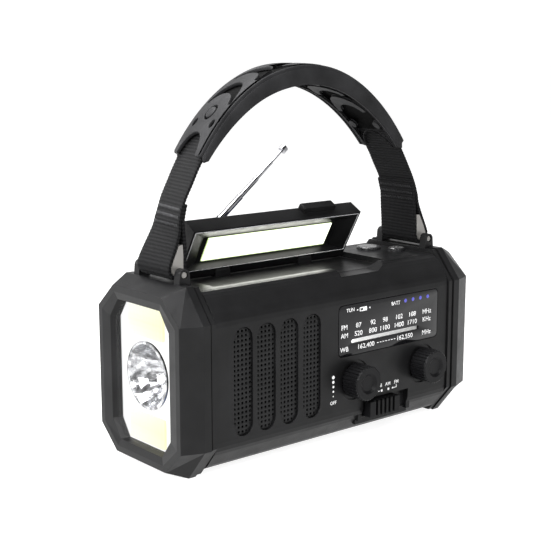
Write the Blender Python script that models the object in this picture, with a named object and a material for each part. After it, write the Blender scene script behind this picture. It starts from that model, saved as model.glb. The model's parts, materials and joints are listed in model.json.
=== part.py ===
"""Emergency radio with torch end, reading-lamp lid, strap handle, mast antenna and hand crank.

The model stands on the undersides of its two end caps at Z = 0. X runs along the length
(torch at -X), the control panel faces -Y and the crank is at the back, +Y.
Helper functions take millimetres and hand metres to Blender.
"""

import math

import bmesh
import bpy
from mathutils import Matrix, Vector

MM = 0.001

# ---------------------------------------------------------------- driving dimensions (mm)
GAP = 0.3                       # air between pieces that would touch
LENGTH = 165.0                  # over the two end faces
MID_Z = 39.0                    # centre height of the case
WALL = 2.2

BODY_HALF_X = 66.85
BODY_HALF_Y = 31.0
BODY_HALF_Z = 36.6
BODY_CUT_Y = 8.1
BODY_CUT_Z = 10.1
BODY_ROUND = 3.0
SPLIT_Y = 18.7                  # front shell ends here, back cover starts GAP further back
DECK_Z = MID_Z + BODY_HALF_Z
BASE_Z = MID_Z - BODY_HALF_Z
CAVITY_TOP_Z = 70.8             # under the lid tray
BACK_CAVITY_TOP_Z = 66.0        # under the antenna rail

CAP_INNER_X = 67.15
CAP_RIM_X = 73.4
CAP_END_X = LENGTH / 2
CAP_FLOOR_X = 78.2              # inner face of an end cap's end wall
CAP_HALF_Y = 32.3
CAP_HALF_Z = 39.0
CAP_CORNER_Y = 21.1
CAP_CORNER_Z = 25.4
FACE_HALF_Y = 28.6
FACE_HALF_Z = 35.4
FACE_CORNER_Y = 17.4
CAP_GROOVE_X = (69.3, 70.0)     # shadow groove round each end cap

# upright octagons: half size in Y and in Z, then the Y and Z where the corner is cut
CAVITY_WIDE = (29.4, 36.0, 19.4, 23.6)
CAVITY_NARROW = (26.0, 32.8, 17.0, 21.6)
TORCH_THROAT = (18.6, 29.2, 13.4, 21.7)
TORCH_WELL = (20.9, 29.8, 14.9, 21.9)
TORCH_RING = (26.0, 32.8, 16.4, 24.2)
TORCH_PLATE = (24.8, 31.8, 16.4, 20.8)
TORCH_WINDOW = (19.0, 28.8, 13.3, 21.0)
TORCH_BEVEL = 0.7               # depth of the shallow bevel inside the torch's ring
PLATE_X = (-77.4, -75.8)
WINDOW_X = (-80.5, -79.3)
COB_X = (-78.7, -77.7)
COB_HALF_Y = 12.4
COB_HALF_Z = 6.2
COB_RISE = 22.2                 # from the reflector's centre to a light panel's centre
REFLECTOR_DEPTH = 13.0
REFLECTOR_R = 13.0
REFLECTOR_HOLE_R = 3.2
REFLECTOR_BACK_X = -65.6

PANEL_Y = -BODY_HALF_Y
GRILLE_X = (-53.0, -41.0, -28.8, -16.3)
GRILLE_W = 9.6
GRILLE_H = 45.0
GRILLE_Z = 38.5
SPEAKER_X = -34.6

DIAL_X = (-1.5, 60.5)
DIAL_Z = (39.2, 62.0)
POINTER_X = 8.0
POINTER_Z = 45.7
POINTER_TRAVEL = 40.0

VOLUME_X = 8.5
TUNING_X = 50.5
KNOB_Z = 28.2
KNOB_R = 7.6
KNOB_TIP_Y = -40.0
KNOB_SHAFT_R = 3.0
CONTROL_Y = (-28.2, -15.6)      # bodies behind the two knobs

SWITCH_X = (14.0, 42.0)
SWITCH_Z = (9.4, 18.0)
SLIDER_W = 18.5
SLIDER_X = 15.0
SLIDER_RIDGES = 5
SLIDER_PITCH = 2.6
SWITCH_FLOOR_Y = PANEL_Y + 3.0

LID_X = (-55.6, 38.4)
TRAY_X = (-56.8, 39.6)
TRAY_Y = -17.5
TRAY_Z = 73.0
HINGE_Y = 11.26
HINGE_Z = 75.6
LID_BELOW = 2.2                 # hinge axis to the lid's underside
LID_ABOVE = 6.5                 # hinge axis to the lid's top face
LID_REACH = 24.6                # hinge axis to the free edge
LID_OPEN = math.radians(60.5)
HINGE_BLOCK_X = (-32.0, 15.0)
HINGE_PIN_R = 1.1
LENS_X = (-43.0, 27.0)          # reading lamp's lens, with the lid shut
LENS_Y = (-5.5, 6.4)
LENS_DEPTH = 3.6                # lens face above the lid's underside
LID_LIP = 1.2

BUTTONS = (("lamp_button", 54.8, 8.4, 5.6), ("sos_button", 62.2, -2.6, 3.8))

ANTENNA_X = -47.5
ANTENNA_Y = 25.0
ANTENNA_Z = 74.5
ANTENNA_TILT = math.radians(38.1)
MAST_CLEARANCE = 0.12
MAST = (                        # diameter, start and end of each tube from the tilt pin
    (3.6, 4.0, 34.0),
    (3.0, 20.0, 48.0),
    (2.4, 33.5, 60.0),
    (1.8, 45.5, 71.0),
    (1.2, 57.0, 81.5),
)

PIN_X = 70.2
PIN_Z = 81.7
PIN_R = 1.2
PIN_HALF_Y = 15.6
LUG_Y = (12.3, 16.0)
LUG_R = 2.4
LUG_FOOT_Z = 76.2
HANGER_HALF_Y = 10.9
HANGER_TOP_Z = 93.5             # the hanger's wedge fills the strap's loop up to here
WEB_HALF_Y = 11.0
WEB_T = 1.3
WEB_DOUBLE_TO = 109.0           # below this height the strap's tail lies on its inside
LOOP_R = 3.85
LOOP_Z = 83.4
LOOP_START = math.radians(20)   # where the loop's round part begins, up its outer side
LOOP_TOP = (66.2, 101.0)
LOOP_OUTER_PULL = ((67.0, 96.2), (71.8, 90.0))
LOOP_INNER_PULL = ((66.0, 91.0), (65.8, 96.0))
ARCH_FOOT = (65.8, 102.0)
ARCH_TOP = (-1.3, 159.8)
ARCH_LEFT_PULL = ((-58.5, 129.0), (-33.5, 159.8))
ARCH_RIGHT_PULL = ((31.0, 159.8), (57.2, 129.0))
TWIST = 0.2                     # sideways shift of the left leg for each unit of depth
TWIST_Z = (86.0, 108.0)         # the twist grows between these heights
TWIST_X = (-8.0, 28.0)          # and between these distances to the left
GRIP_HALF_Y = 12.6
GRIP_T = 1.7
GRIP_FOOT_Z = 125.5

CRANK_X = 18.0
CRANK_Z = 39.0
CRANK_REACH = 40.0
CRANK_Y = 35.8
PEG_R = 4.2
ARM_Y = (33.0, 38.0)
HUB_R = 10.5
SCREW_HOLE_R = 1.5

GEAR_MODULE = 1.0
DRIVE_TEETH = 36
IDLER_SMALL_TEETH = 12
IDLER_LARGE_TEETH = 28
PINION_TEETH = 10
GEAR_Y = (23.5, 27.5)
GEAR2_Y = (18.0, 22.0)

BATTERY_X = (-60.0, 5.0)
BATTERY_Y = 7.5
BATTERY_Z = 16.5
BATTERY_R = 9.2
DOOR_X = (BATTERY_X[0] - 2.0, BATTERY_X[1] + 3.0)
DOOR_Y = (-3.5, 16.5)
DOOR_SCREW_Y = 6.5

BOARD_T = 1.6
MAIN_BOARD = ((-10.0, 64.0), (-14.8, -14.8 + BOARD_T), (8.0, 62.0))
BUTTON_BOARD = ((46.0, 66.0), (-9.0, 16.5), (66.0, 67.4))
PORT_BOARD = ((70.0, 70.0 + BOARD_T), (-14.0, 14.0), (30.0, 48.0))
SOCKETS = (((-10.0, -1.0), (37.0, 41.0)), ((1.5, 10.8), (35.5, 42.5)))     # y and z of each
POCKET_Y = (-14.0, 14.0)        # recess for the rubber flap, with the socket opening in its floor
POCKET_Z = (31.5, 46.5)
POCKET_FLOOR_X = 80.0


# ---------------------------------------------------------------- helpers
def clear_scene():
    for item in list(bpy.data.objects):
        bpy.data.objects.remove(item, do_unlink=True)


def material(name, colour, roughness, metallic=0.0):
    mat = bpy.data.materials.get(name)
    if mat:
        return mat
    mat = bpy.data.materials.new(name)
    mat.use_nodes = True
    shader = mat.node_tree.nodes["Principled BSDF"]
    shader.inputs["Base Color"].default_value = (*colour, 1.0)
    shader.inputs["Roughness"].default_value = roughness
    shader.inputs["Metallic"].default_value = metallic
    mat.diffuse_color = (*colour, 1.0)
    return mat


def add(name, bm, mat, origin=(0.0, 0.0, 0.0), smooth=None):
    """Turn millimetre geometry into an object whose origin is at the given point."""
    bmesh.ops.recalc_face_normals(bm, faces=bm.faces)
    bmesh.ops.translate(bm, verts=bm.verts, vec=-Vector(origin))
    bmesh.ops.scale(bm, verts=bm.verts, vec=(MM, MM, MM))
    mesh = bpy.data.meshes.new(name)
    bm.to_mesh(mesh)
    bm.free()
    if mat:
        mesh.materials.append(mat)
    if smooth is not None:
        mesh.shade_smooth()
        mesh.set_sharp_from_angle(angle=math.radians(smooth))
    item = bpy.data.objects.new(name, mesh)
    item.location = Vector(origin) * MM
    bpy.context.scene.collection.objects.link(item)
    return item


def boolean(item, bm, operation="DIFFERENCE"):
    """Cut (or join) the geometry into the object with a Boolean modifier."""
    name = f"{item.name}.{operation[:3].lower()}{len(item.modifiers)}"
    tool = add(name, bm, None)
    tool.hide_render = True
    tool.display_type = "WIRE"
    modifier = item.modifiers.new(name, "BOOLEAN")
    modifier.operation = operation
    modifier.solver = "EXACT"
    modifier.object = tool


def place(axis, a, b, along):
    """A point whose in-plane coordinates are a, b and whose coordinate on the axis is along."""
    if axis == "x":
        return (along, a, b)
    if axis == "y":
        return (a, along, b)
    return (a, b, along)


def loft(sections, axis):
    """Closed solid through outlines of equal length; a section is (position, outline)."""
    bm = bmesh.new()
    rings = [[bm.verts.new(place(axis, a, b, along)) for a, b in outline] for along, outline in sections]
    for lower, upper in zip(rings, rings[1:]):
        for i in range(len(lower)):
            j = (i + 1) % len(lower)
            bm.faces.new((lower[i], lower[j], upper[j], upper[i]))
    bm.faces.new(rings[0])
    bm.faces.new(rings[-1])
    return bm


def prism(outline, axis, lo, hi):
    return loft(((lo, outline), (hi, outline)), axis)


def block(x, y, z):
    return prism([(x[0], y[0]), (x[1], y[0]), (x[1], y[1]), (x[0], y[1])], "z", z[0], z[1])


def circle(a, b, radius, steps=24, start=0.0):
    turns = [start + 2 * math.pi * i / steps for i in range(steps)]
    return [(a + radius * math.cos(t), b + radius * math.sin(t)) for t in turns]


def cylinder(axis, a, b, radius, lo, hi, steps=24):
    return prism(circle(a, b, radius, steps), axis, lo, hi)


def turned(axis, a, b, profile, steps=32):
    """Solid of revolution; the profile is (position, radius) pairs, ends closed flat."""
    return loft([(along, circle(a, b, radius, steps)) for along, radius in profile], axis)


def rounded(points, radius, steps=3):
    """The outline with every corner replaced by a short arc that cuts in by the radius."""
    outline = []
    count = len(points)
    for i, point in enumerate(points):
        here = Vector(point)
        back = Vector(points[i - 1]) - here
        ahead = Vector(points[(i + 1) % count]) - here
        reach = min(radius, back.length / 2.2, ahead.length / 2.2)
        start = here + back.normalized() * reach
        end = here + ahead.normalized() * reach
        for k in range(steps + 1):
            t = k / steps
            outline.append(tuple(start * (1 - t) ** 2 + here * (2 * t * (1 - t)) + end * t ** 2))
    return outline


def rectangle(a, b):
    return [(a[0], b[0]), (a[1], b[0]), (a[1], b[1]), (a[0], b[1])]


def stadium(a, b, width, height, steps=8):
    """Upright slot with round ends, centred on a, b."""
    radius = width / 2
    rise = height / 2 - radius
    turns = [math.pi * i / steps for i in range(steps + 1)]
    upper = [(a + radius * math.cos(t), b + rise + radius * math.sin(t)) for t in turns]
    return upper + [(2 * a - p, 2 * b - q) for p, q in upper]


def octagon(half_y, half_z, corner_y, corner_z):
    """Upright octagon about the case centre, with its corners where two edges meet."""
    quarter = [(half_y, corner_z), (corner_y, half_z)]
    upper = quarter + [(-y, z) for y, z in reversed(quarter)]
    return [(y, MID_Z + z) for y, z in upper] + [(y, MID_Z - z) for y, z in reversed(upper)]


def bezier(p0, p1, p2, p3, steps):
    points = []
    for i in range(steps + 1):
        t = i / steps
        u = 1 - t
        weights = (u ** 3, 3 * u * u * t, 3 * u * t * t, t ** 3)
        points.append(tuple(sum(w * p[k] for w, p in zip(weights, (p0, p1, p2, p3))) for k in (0, 1)))
    return points


def ease(value, start, end):
    """0 before start, 1 after end and a smooth rise between them."""
    share = min(1.0, max(0.0, (value - start) / (end - start)))
    return share * share * (3 - 2 * share)


def rotate(bm, axis, angle, centre):
    bmesh.ops.rotate(bm, verts=bm.verts, cent=centre, matrix=Matrix.Rotation(angle, 3, axis))
    return bm


# ---------------------------------------------------------------- materials
def case_plastic():
    return material("case_black_plastic", (0.018, 0.018, 0.019), 0.45)


def soft_rubber():
    return material("grip_black_rubber", (0.028, 0.028, 0.03), 0.62)


def webbing_nylon():
    return material("webbing_black_nylon", (0.012, 0.012, 0.013), 0.85)


def hanger_paint():
    return material("strap_hanger_grey", (0.13, 0.125, 0.118), 0.35, 0.4)


def steel():
    return material("bright_steel", (0.78, 0.78, 0.8), 0.2, 1.0)


def chrome():
    return material("antenna_chrome", (0.86, 0.86, 0.88), 0.08, 1.0)


def circuit_green():
    return material("circuit_board_green", (0.02, 0.14, 0.06), 0.5)


def gear_nylon():
    return material("gear_white_nylon", (0.78, 0.77, 0.72), 0.45)


def glossy_black():
    return material("dial_gloss_black", (0.006, 0.006, 0.008), 0.06)


# ---------------------------------------------------------------- case
def front_outline(inset, top, rear):
    """Cross-section (y, z) of the front shell, moved inwards by inset."""
    half_y = BODY_HALF_Y - inset
    half_z = BODY_HALF_Z - inset
    slope = inset * 0.42
    bottom = MID_Z - half_z
    return [
        (rear, top),
        (-(half_y - BODY_CUT_Y + slope), top),
        (-half_y, min(top - 1.0, MID_Z + half_z - BODY_CUT_Z + slope)),
        (-half_y, MID_Z - half_z + BODY_CUT_Z - slope),
        (-(half_y - BODY_CUT_Y + slope), bottom),
        (rear, bottom),
    ]


def soften_front(points, radius):
    """Round the four front corners and keep the two rear ones square."""
    arcs = rounded(points, radius)
    per_corner = len(arcs) // len(points)
    return [points[0]] + arcs[per_corner:-per_corner] + [points[-1]]


def build_front_shell():
    outer = soften_front(front_outline(0.0, DECK_Z, SPLIT_Y), BODY_ROUND)
    shell = add("housing_front", prism(outer, "x", -BODY_HALF_X, BODY_HALF_X), case_plastic(), smooth=30)

    inner = soften_front(front_outline(WALL, CAVITY_TOP_Z, SPLIT_Y + 2), 1.5)
    boolean(shell, prism(inner, "x", -BODY_HALF_X - 2, BODY_HALF_X + 2))
    for lo, hi in ((-BODY_HALF_X - 2, TRAY_X[0] - WALL), (TRAY_X[1] + WALL, BODY_HALF_X + 2)):
        boolean(shell, block((lo, hi), (-20.0, SPLIT_Y + 2), (CAVITY_TOP_Z - 1, DECK_Z - WALL)))

    boolean(shell, block(TRAY_X, (TRAY_Y, SPLIT_Y + 2), (TRAY_Z, DECK_Z + 2)))
    boolean(shell, finger_notch())
    for x in GRILLE_X:
        boolean(shell, prism(stadium(x, GRILLE_Z, GRILLE_W, GRILLE_H), "y", PANEL_Y - 1, PANEL_Y + WALL + 1))

    rebate = rounded(rectangle(DIAL_X, DIAL_Z), 2.6)
    boolean(shell, prism(rebate, "y", PANEL_Y - 1, PANEL_Y + 1.2))
    opening = rectangle((DIAL_X[0] + 2, DIAL_X[1] - 2), (DIAL_Z[0] + 2, DIAL_Z[1] - 2))
    boolean(shell, prism(opening, "y", PANEL_Y + 0.6, PANEL_Y + WALL + 1))

    for x in (VOLUME_X, TUNING_X):
        boolean(shell, cylinder("y", x, KNOB_Z, KNOB_SHAFT_R + 0.5, PANEL_Y - 1, PANEL_Y + WALL + 1))
        boolean(shell, cylinder("y", x, KNOB_Z, KNOB_R + 1.3, PANEL_Y - 1, PANEL_Y + 0.8, 40))

    well = rectangle(SWITCH_X, SWITCH_Z)
    boolean(shell, prism(well, "y", PANEL_Y - 1, SWITCH_FLOOR_Y))
    add_switch_floor(shell)

    for _, x, y, radius in BUTTONS:
        boolean(shell, cylinder("z", x, y, radius + 0.3, DECK_Z - WALL - 1, DECK_Z + 1, 28))

    boolean(shell, block(DOOR_X, DOOR_Y, (BASE_Z - 1, BASE_Z + WALL + 1)))

    for x in HINGE_BLOCK_X:
        boolean(shell, hinge_block(x), "UNION")
    boolean(shell, cylinder("x", HINGE_Y, HINGE_Z, HINGE_PIN_R + GAP, -40.0, 25.0, 16))


def add_switch_floor(shell):
    """A shallow inward pocket behind the band switch, so the well keeps a floor."""
    x = (SWITCH_X[0] - WALL, SWITCH_X[1] + WALL)
    floor = block(x, (SWITCH_FLOOR_Y, SWITCH_FLOOR_Y + 1.6), (SWITCH_Z[0] - 3.0, SWITCH_Z[1] + WALL))
    boolean(shell, floor, "UNION")
    roof = block(x, (PANEL_Y + 1.0, PANEL_Y + 4.0), (SWITCH_Z[1], SWITCH_Z[1] + WALL))
    boolean(shell, roof, "UNION")
    for lo, hi in ((x[0], SWITCH_X[0]), (SWITCH_X[1], x[1])):
        side = block((lo, hi), (PANEL_Y + 1.0, PANEL_Y + 4.0), (SWITCH_Z[0] - 1.0, SWITCH_Z[1] + 0.5))
        boolean(shell, side, "UNION")
    slot = rectangle((SWITCH_X[0] + 4, SWITCH_X[1] - 4), (12.6, 15.4))
    boolean(shell, prism(slot, "y", PANEL_Y + 2.5, PANEL_Y + 6))


def finger_notch():
    """Scoop through the deck's front rim, where a finger lifts the lid's tab."""
    left, right, flare = 5.5, 27.5, 34.5
    floor = DECK_Z - 2.7
    outline = [(left, floor), (right, floor), (flare, DECK_Z), (flare, DECK_Z + 3), (left, DECK_Z + 3)]
    return prism(outline, "y", -30.0, TRAY_Y + 0.5)


def hinge_block(x):
    top = circle(HINGE_Y, HINGE_Z, 2.1, 16)
    upper = [(y, z) for y, z in top if z >= HINGE_Z - 0.01]
    outline = [(HINGE_Y + 2.1, TRAY_Z - 1.0)] + upper + [(HINGE_Y - 2.1, TRAY_Z - 1.0)]
    return prism(outline, "x", x - 4.0, x + 4.0)


def build_back_cover():
    start = SPLIT_Y + GAP
    corner_y = BODY_HALF_Y - BODY_CUT_Y
    corner_z = BODY_HALF_Z - BODY_CUT_Z
    points = [(start, BASE_Z), (corner_y, BASE_Z), (BODY_HALF_Y, MID_Z - corner_z),
              (BODY_HALF_Y, MID_Z + corner_z), (corner_y, DECK_Z), (start, DECK_Z)]
    arcs = rounded(points, BODY_ROUND)
    per_corner = len(arcs) // len(points)
    outer = [points[0]] + arcs[per_corner:-per_corner] + [points[-1]]
    cover = add("housing_back", prism(outer, "x", -BODY_HALF_X, BODY_HALF_X), case_plastic(), smooth=30)
    inside = [(start - 2, BASE_Z + WALL), (corner_y - 0.9, BASE_Z + WALL),
              (BODY_HALF_Y - WALL, MID_Z - corner_z + 0.9), (BODY_HALF_Y - WALL, BACK_CAVITY_TOP_Z - 0.6),
              (BODY_HALF_Y - WALL - 0.4, BACK_CAVITY_TOP_Z), (start - 2, BACK_CAVITY_TOP_Z)]
    boolean(cover, prism(inside, "x", -BODY_HALF_X - 2, BODY_HALF_X + 2))
    boolean(cover, cylinder("x", ANTENNA_Y, ANTENNA_Z, 3.0, ANTENNA_X, 44.0, 20))
    boolean(cover, cylinder("z", ANTENNA_X, ANTENNA_Y, 5.5, 68.5, 80.0, 28))
    boolean(cover, cylinder("z", ANTENNA_X, ANTENNA_Y, 2.3, 64.0, 70.0, 20))
    boolean(cover, cylinder("y", CRANK_X, CRANK_Z, 5.3, BODY_HALF_Y - WALL - 1, BODY_HALF_Y + 1, 28))
    for x, z in screw_places():
        boolean(cover, cylinder("y", x, z, 2.6, BODY_HALF_Y - 1.2, BODY_HALF_Y + 1, 20))
        boolean(cover, cylinder("y", x, z, 1.4, BODY_HALF_Y - WALL - 1, BODY_HALF_Y, 16))


def screw_places():
    return [(x, z) for x in (-60.0, 60.0) for z in (17.0, 60.0)]


def build_screws():
    for number, (x, z) in enumerate(screw_places(), 1):
        profile = [(BODY_HALF_Y - 12.0, 0.6), (BODY_HALF_Y - 10.5, 1.1), (BODY_HALF_Y - 0.9, 1.1),
                   (BODY_HALF_Y - 0.9, 2.3), (BODY_HALF_Y - 0.3, 2.3), (BODY_HALF_Y, 1.7)]
        screw = add(f"back_cover_screw_{number}", turned("y", x, z, profile, 16), steel(), smooth=35)
        for turn in (0.0, math.pi / 2):
            bit = block((x - 1.3, x + 1.3), (BODY_HALF_Y - 0.6, BODY_HALF_Y + 1), (z - 0.25, z + 0.25))
            boolean(screw, rotate(bit, "Y", turn, (x, 0, z)))


def cap_sections(side):
    """Outer sections of an end cap from its inner rim to its face; side is -1 or 1."""
    rim = octagon(CAP_HALF_Y, CAP_HALF_Z, CAP_CORNER_Y, CAP_CORNER_Z)
    band = octagon(CAP_HALF_Y - 0.5, CAP_HALF_Z - 0.6, CAP_CORNER_Y - 0.2, CAP_CORNER_Z - 0.2)
    groove = octagon(CAP_HALF_Y - 1.2, CAP_HALF_Z - 1.3, CAP_CORNER_Y - 0.5, CAP_CORNER_Z - 0.5)
    face = octagon(FACE_HALF_Y, FACE_HALF_Z, FACE_CORNER_Y, CAP_CORNER_Z)
    edge = octagon(FACE_HALF_Y + 0.25, FACE_HALF_Z + 0.25, FACE_CORNER_Y + 0.1, CAP_CORNER_Z)
    start, end = CAP_GROOVE_X
    steps = ((CAP_INNER_X, band), (start, band), (start, groove), (end, groove), (end, rim),
             (CAP_RIM_X, rim), (CAP_END_X - 0.5, edge), (CAP_END_X, face))
    return [(side * x, outline) for x, outline in steps]


def cap_cavity(side):
    wide = octagon(*CAVITY_WIDE)
    narrow = octagon(*CAVITY_NARROW)
    steps = ((CAP_INNER_X - 2, wide), (CAP_RIM_X, wide), (CAP_FLOOR_X, narrow))
    return loft([(side * x, outline) for x, outline in steps], "x")


def add_lugs(cap, side):
    near, far = LUG_Y
    for lo, hi in ((near, far), (-far, -near)):
        top = [(PIN_X + LUG_R * math.cos(a), PIN_Z + LUG_R * math.sin(a))
               for a in [math.pi * k / 10 for k in range(11)]]
        foot = LUG_R + 0.5
        points = [(PIN_X + foot, LUG_FOOT_Z)] + top + [(PIN_X - foot, LUG_FOOT_Z)]
        outline = [(side * x, z) for x, z in points]
        boolean(cap, prism(outline, "y", lo, hi), "UNION")
    boolean(cap, cylinder("y", side * PIN_X, PIN_Z, PIN_R + GAP, -far - 1, far + 1, 16))


def build_torch_cap():
    cap = add("end_cap_torch", loft(cap_sections(-1), "x"), case_plastic(), smooth=30)
    boolean(cap, cap_cavity(-1))
    throat = octagon(*TORCH_THROAT)
    beyond = octagon(*(size + 0.4 for size in TORCH_RING))
    steps = ((CAP_FLOOR_X - 1.2, throat), (CAP_FLOOR_X, throat),
             (CAP_END_X - TORCH_BEVEL, octagon(*TORCH_WELL)),
             (CAP_END_X, octagon(*TORCH_RING)), (CAP_END_X + TORCH_BEVEL, beyond))
    boolean(cap, loft([(-x, outline) for x, outline in steps], "x"))
    add_lugs(cap, -1)


def build_port_cap():
    cap = add("end_cap_ports", loft(cap_sections(1), "x"), case_plastic(), smooth=30)
    boolean(cap, cap_cavity(1))
    pocket = rounded(rectangle(POCKET_Y, POCKET_Z), 2.0)
    boolean(cap, prism(pocket, "x", POCKET_FLOOR_X, CAP_END_X + 1.5))
    opening = rectangle((POCKET_Y[0] + 2.5, POCKET_Y[1] - 2.5), (POCKET_Z[0] + 2.5, POCKET_Z[1] - 2.5))
    boolean(cap, prism(opening, "x", CAP_FLOOR_X - 2.2, POCKET_FLOOR_X + 1))
    add_lugs(cap, 1)


def build_battery_door():
    x = (DOOR_X[0] + GAP, DOOR_X[1] - GAP)
    y = (DOOR_Y[0] + GAP, DOOR_Y[1] - GAP)
    door = add("battery_door", block(x, y, (BASE_Z, BASE_Z + WALL)), case_plastic())
    screw_x = x[1] - 3.4
    boolean(door, cylinder("z", screw_x, DOOR_SCREW_Y, 2.4, BASE_Z - 1, BASE_Z + 1.1, 20))
    boolean(door, cylinder("z", screw_x, DOOR_SCREW_Y, 1.3, BASE_Z, BASE_Z + WALL + 1, 16))
    profile = [(BASE_Z + 0.2, 2.1), (BASE_Z + 0.9, 2.1), (BASE_Z + 0.9, 1.0), (BASE_Z + 4.0, 1.0),
               (BASE_Z + 4.5, 0.4)]
    add("battery_door_screw", turned("z", screw_x, DOOR_SCREW_Y, profile, 16), steel(), smooth=35)


# ---------------------------------------------------------------- torch end
def build_torch():
    white = material("torch_carrier_white", (0.85, 0.85, 0.83), 0.5)
    plate = add("torch_plate", prism(octagon(*TORCH_PLATE), "x", *PLATE_X), white)
    boolean(plate, cylinder("x", 0.0, MID_Z, REFLECTOR_R + 1.0, PLATE_X[0] - 1, PLATE_X[1] + 1, 40))

    clear = material("window_clear", (0.9, 0.92, 0.93), 0.04)
    add("torch_window", prism(octagon(*TORCH_WINDOW), "x", *WINDOW_X), clear)

    build_reflector()
    led = [(-63.2, 6.0), (-64.8, 6.0), (-64.8, 2.2), (-65.8, 2.2), (-66.8, 1.5), (-67.2, 0.5)]
    yellow = material("led_yellow_phosphor", (0.95, 0.9, 0.3), 0.4)
    add("torch_led", turned("x", 0.0, MID_Z, led, 24), yellow, smooth=35)

    for name, centre in (("cob_panel_upper", MID_Z + COB_RISE), ("cob_panel_lower", MID_Z - COB_RISE)):
        outline = rectangle((-COB_HALF_Y, COB_HALF_Y), (centre - COB_HALF_Z, centre + COB_HALF_Z))
        add(name, prism(rounded(outline, 1.0, 2), "x", *COB_X), yellow)


def build_reflector():
    """Parabolic cup with a flange in front of the carrier plate."""
    mouth_r, hole_r = REFLECTOR_R, REFLECTOR_HOLE_R
    inner = []
    for i in range(7):
        r = hole_r + (mouth_r - hole_r) * i / 6
        along = REFLECTOR_BACK_X - REFLECTOR_DEPTH * (r * r - hole_r ** 2) / (mouth_r ** 2 - hole_r ** 2)
        inner.append((along, r))
    flange = [(-78.6, 14.5), (-77.8, 14.5), (-77.8, 13.6)]
    outer = flange + [(along, r + 0.8) for along, r in reversed(inner) if along > -77.0]
    ring = inner + outer
    bm = bmesh.new()
    steps = 28
    rings = []
    for i in range(steps):
        turn = 2 * math.pi * i / steps
        rings.append([bm.verts.new((x, r * math.cos(turn), MID_Z + r * math.sin(turn))) for x, r in ring])
    for i in range(steps):
        one, two = rings[i], rings[(i + 1) % steps]
        for k in range(len(ring)):
            m = (k + 1) % len(ring)
            bm.faces.new((one[k], one[m], two[m], two[k]))
    mirror = material("reflector_mirror", (0.85, 0.86, 0.88), 0.12, 1.0)
    add("torch_reflector", bm, mirror, smooth=35)


# ---------------------------------------------------------------- panel
def build_speaker():
    outline = rounded(rectangle((GRILLE_X[0] - 7.2, GRILLE_X[3] + 7.2), (14.7, 62.3)), 2.0)
    y = PANEL_Y + WALL + GAP
    add("speaker_grille", prism(outline, "y", y, y + 1.0), case_plastic())
    profile = [(y + 1.4, 19.8), (y + 3.0, 19.8), (y + 3.0, 18.5), (y + 9.0, 11.0), (y + 9.0, 10.0),
               (y + 15.0, 10.0)]
    add("speaker_driver", turned("y", SPEAKER_X, GRILLE_Z, profile, 36),
        material("speaker_dark_steel", (0.12, 0.12, 0.13), 0.4, 0.8), smooth=35)


def build_dial():
    outline = rounded(rectangle((DIAL_X[0] + GAP, DIAL_X[1] - GAP), (DIAL_Z[0] + GAP, DIAL_Z[1] - GAP)), 2.4)
    add("dial_window", prism(outline, "y", PANEL_Y, PANEL_Y + 0.9), glossy_black())
    y = PANEL_Y + WALL + GAP
    printed = rectangle((DIAL_X[0] - 0.5, DIAL_X[1] + 0.5), (DIAL_Z[0] - 0.5, DIAL_Z[1] + 0.8))
    add("dial_plate", prism(printed, "y", y, y + 0.8),
        material("dial_plate_dark", (0.03, 0.03, 0.035), 0.4))
    marker = material("pointer_white", (0.85, 0.85, 0.85), 0.4)
    x = POINTER_X
    z = POINTER_Z
    add("tuning_pointer", block((x - 0.8, x + 0.8), (PANEL_Y + 1.3, PANEL_Y + 2.1), (z - 2.0, z + 14.0)),
        marker, origin=(x, PANEL_Y + 1.7, z))


def knob_outline(x, z, radius, ridges, depth):
    outline = []
    for i in range(ridges):
        for share, drop in ((0.0, 0.0), (0.55, 0.0), (0.65, depth), (0.9, depth)):
            turn = 2 * math.pi * (i + share) / ridges
            r = radius - drop
            outline.append((x + r * math.cos(turn), z + r * math.sin(turn)))
    return outline


def build_knob(name, x):
    ridges = 30
    rim = knob_outline(x, KNOB_Z, KNOB_R, ridges, 0.35)
    skirt_y = PANEL_Y - 0.3
    tip = KNOB_TIP_Y
    face = knob_outline(x, KNOB_Z, KNOB_R - 0.6, ridges, 0.05)
    bm = loft([(skirt_y, rim), (tip + 0.6, rim), (tip, face)], "y")
    knob = add(name, bm, case_plastic(), origin=(x, skirt_y, KNOB_Z), smooth=30)
    boolean(knob, turned("y", x, KNOB_Z, [(tip - 1, 4.9), (tip, 4.6), (tip + 1.0, 3.4)], 28))
    boolean(knob, cylinder("y", x, KNOB_Z, KNOB_SHAFT_R, skirt_y - 0.5, CONTROL_Y[1] - 1.4, 20), "UNION")


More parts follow.
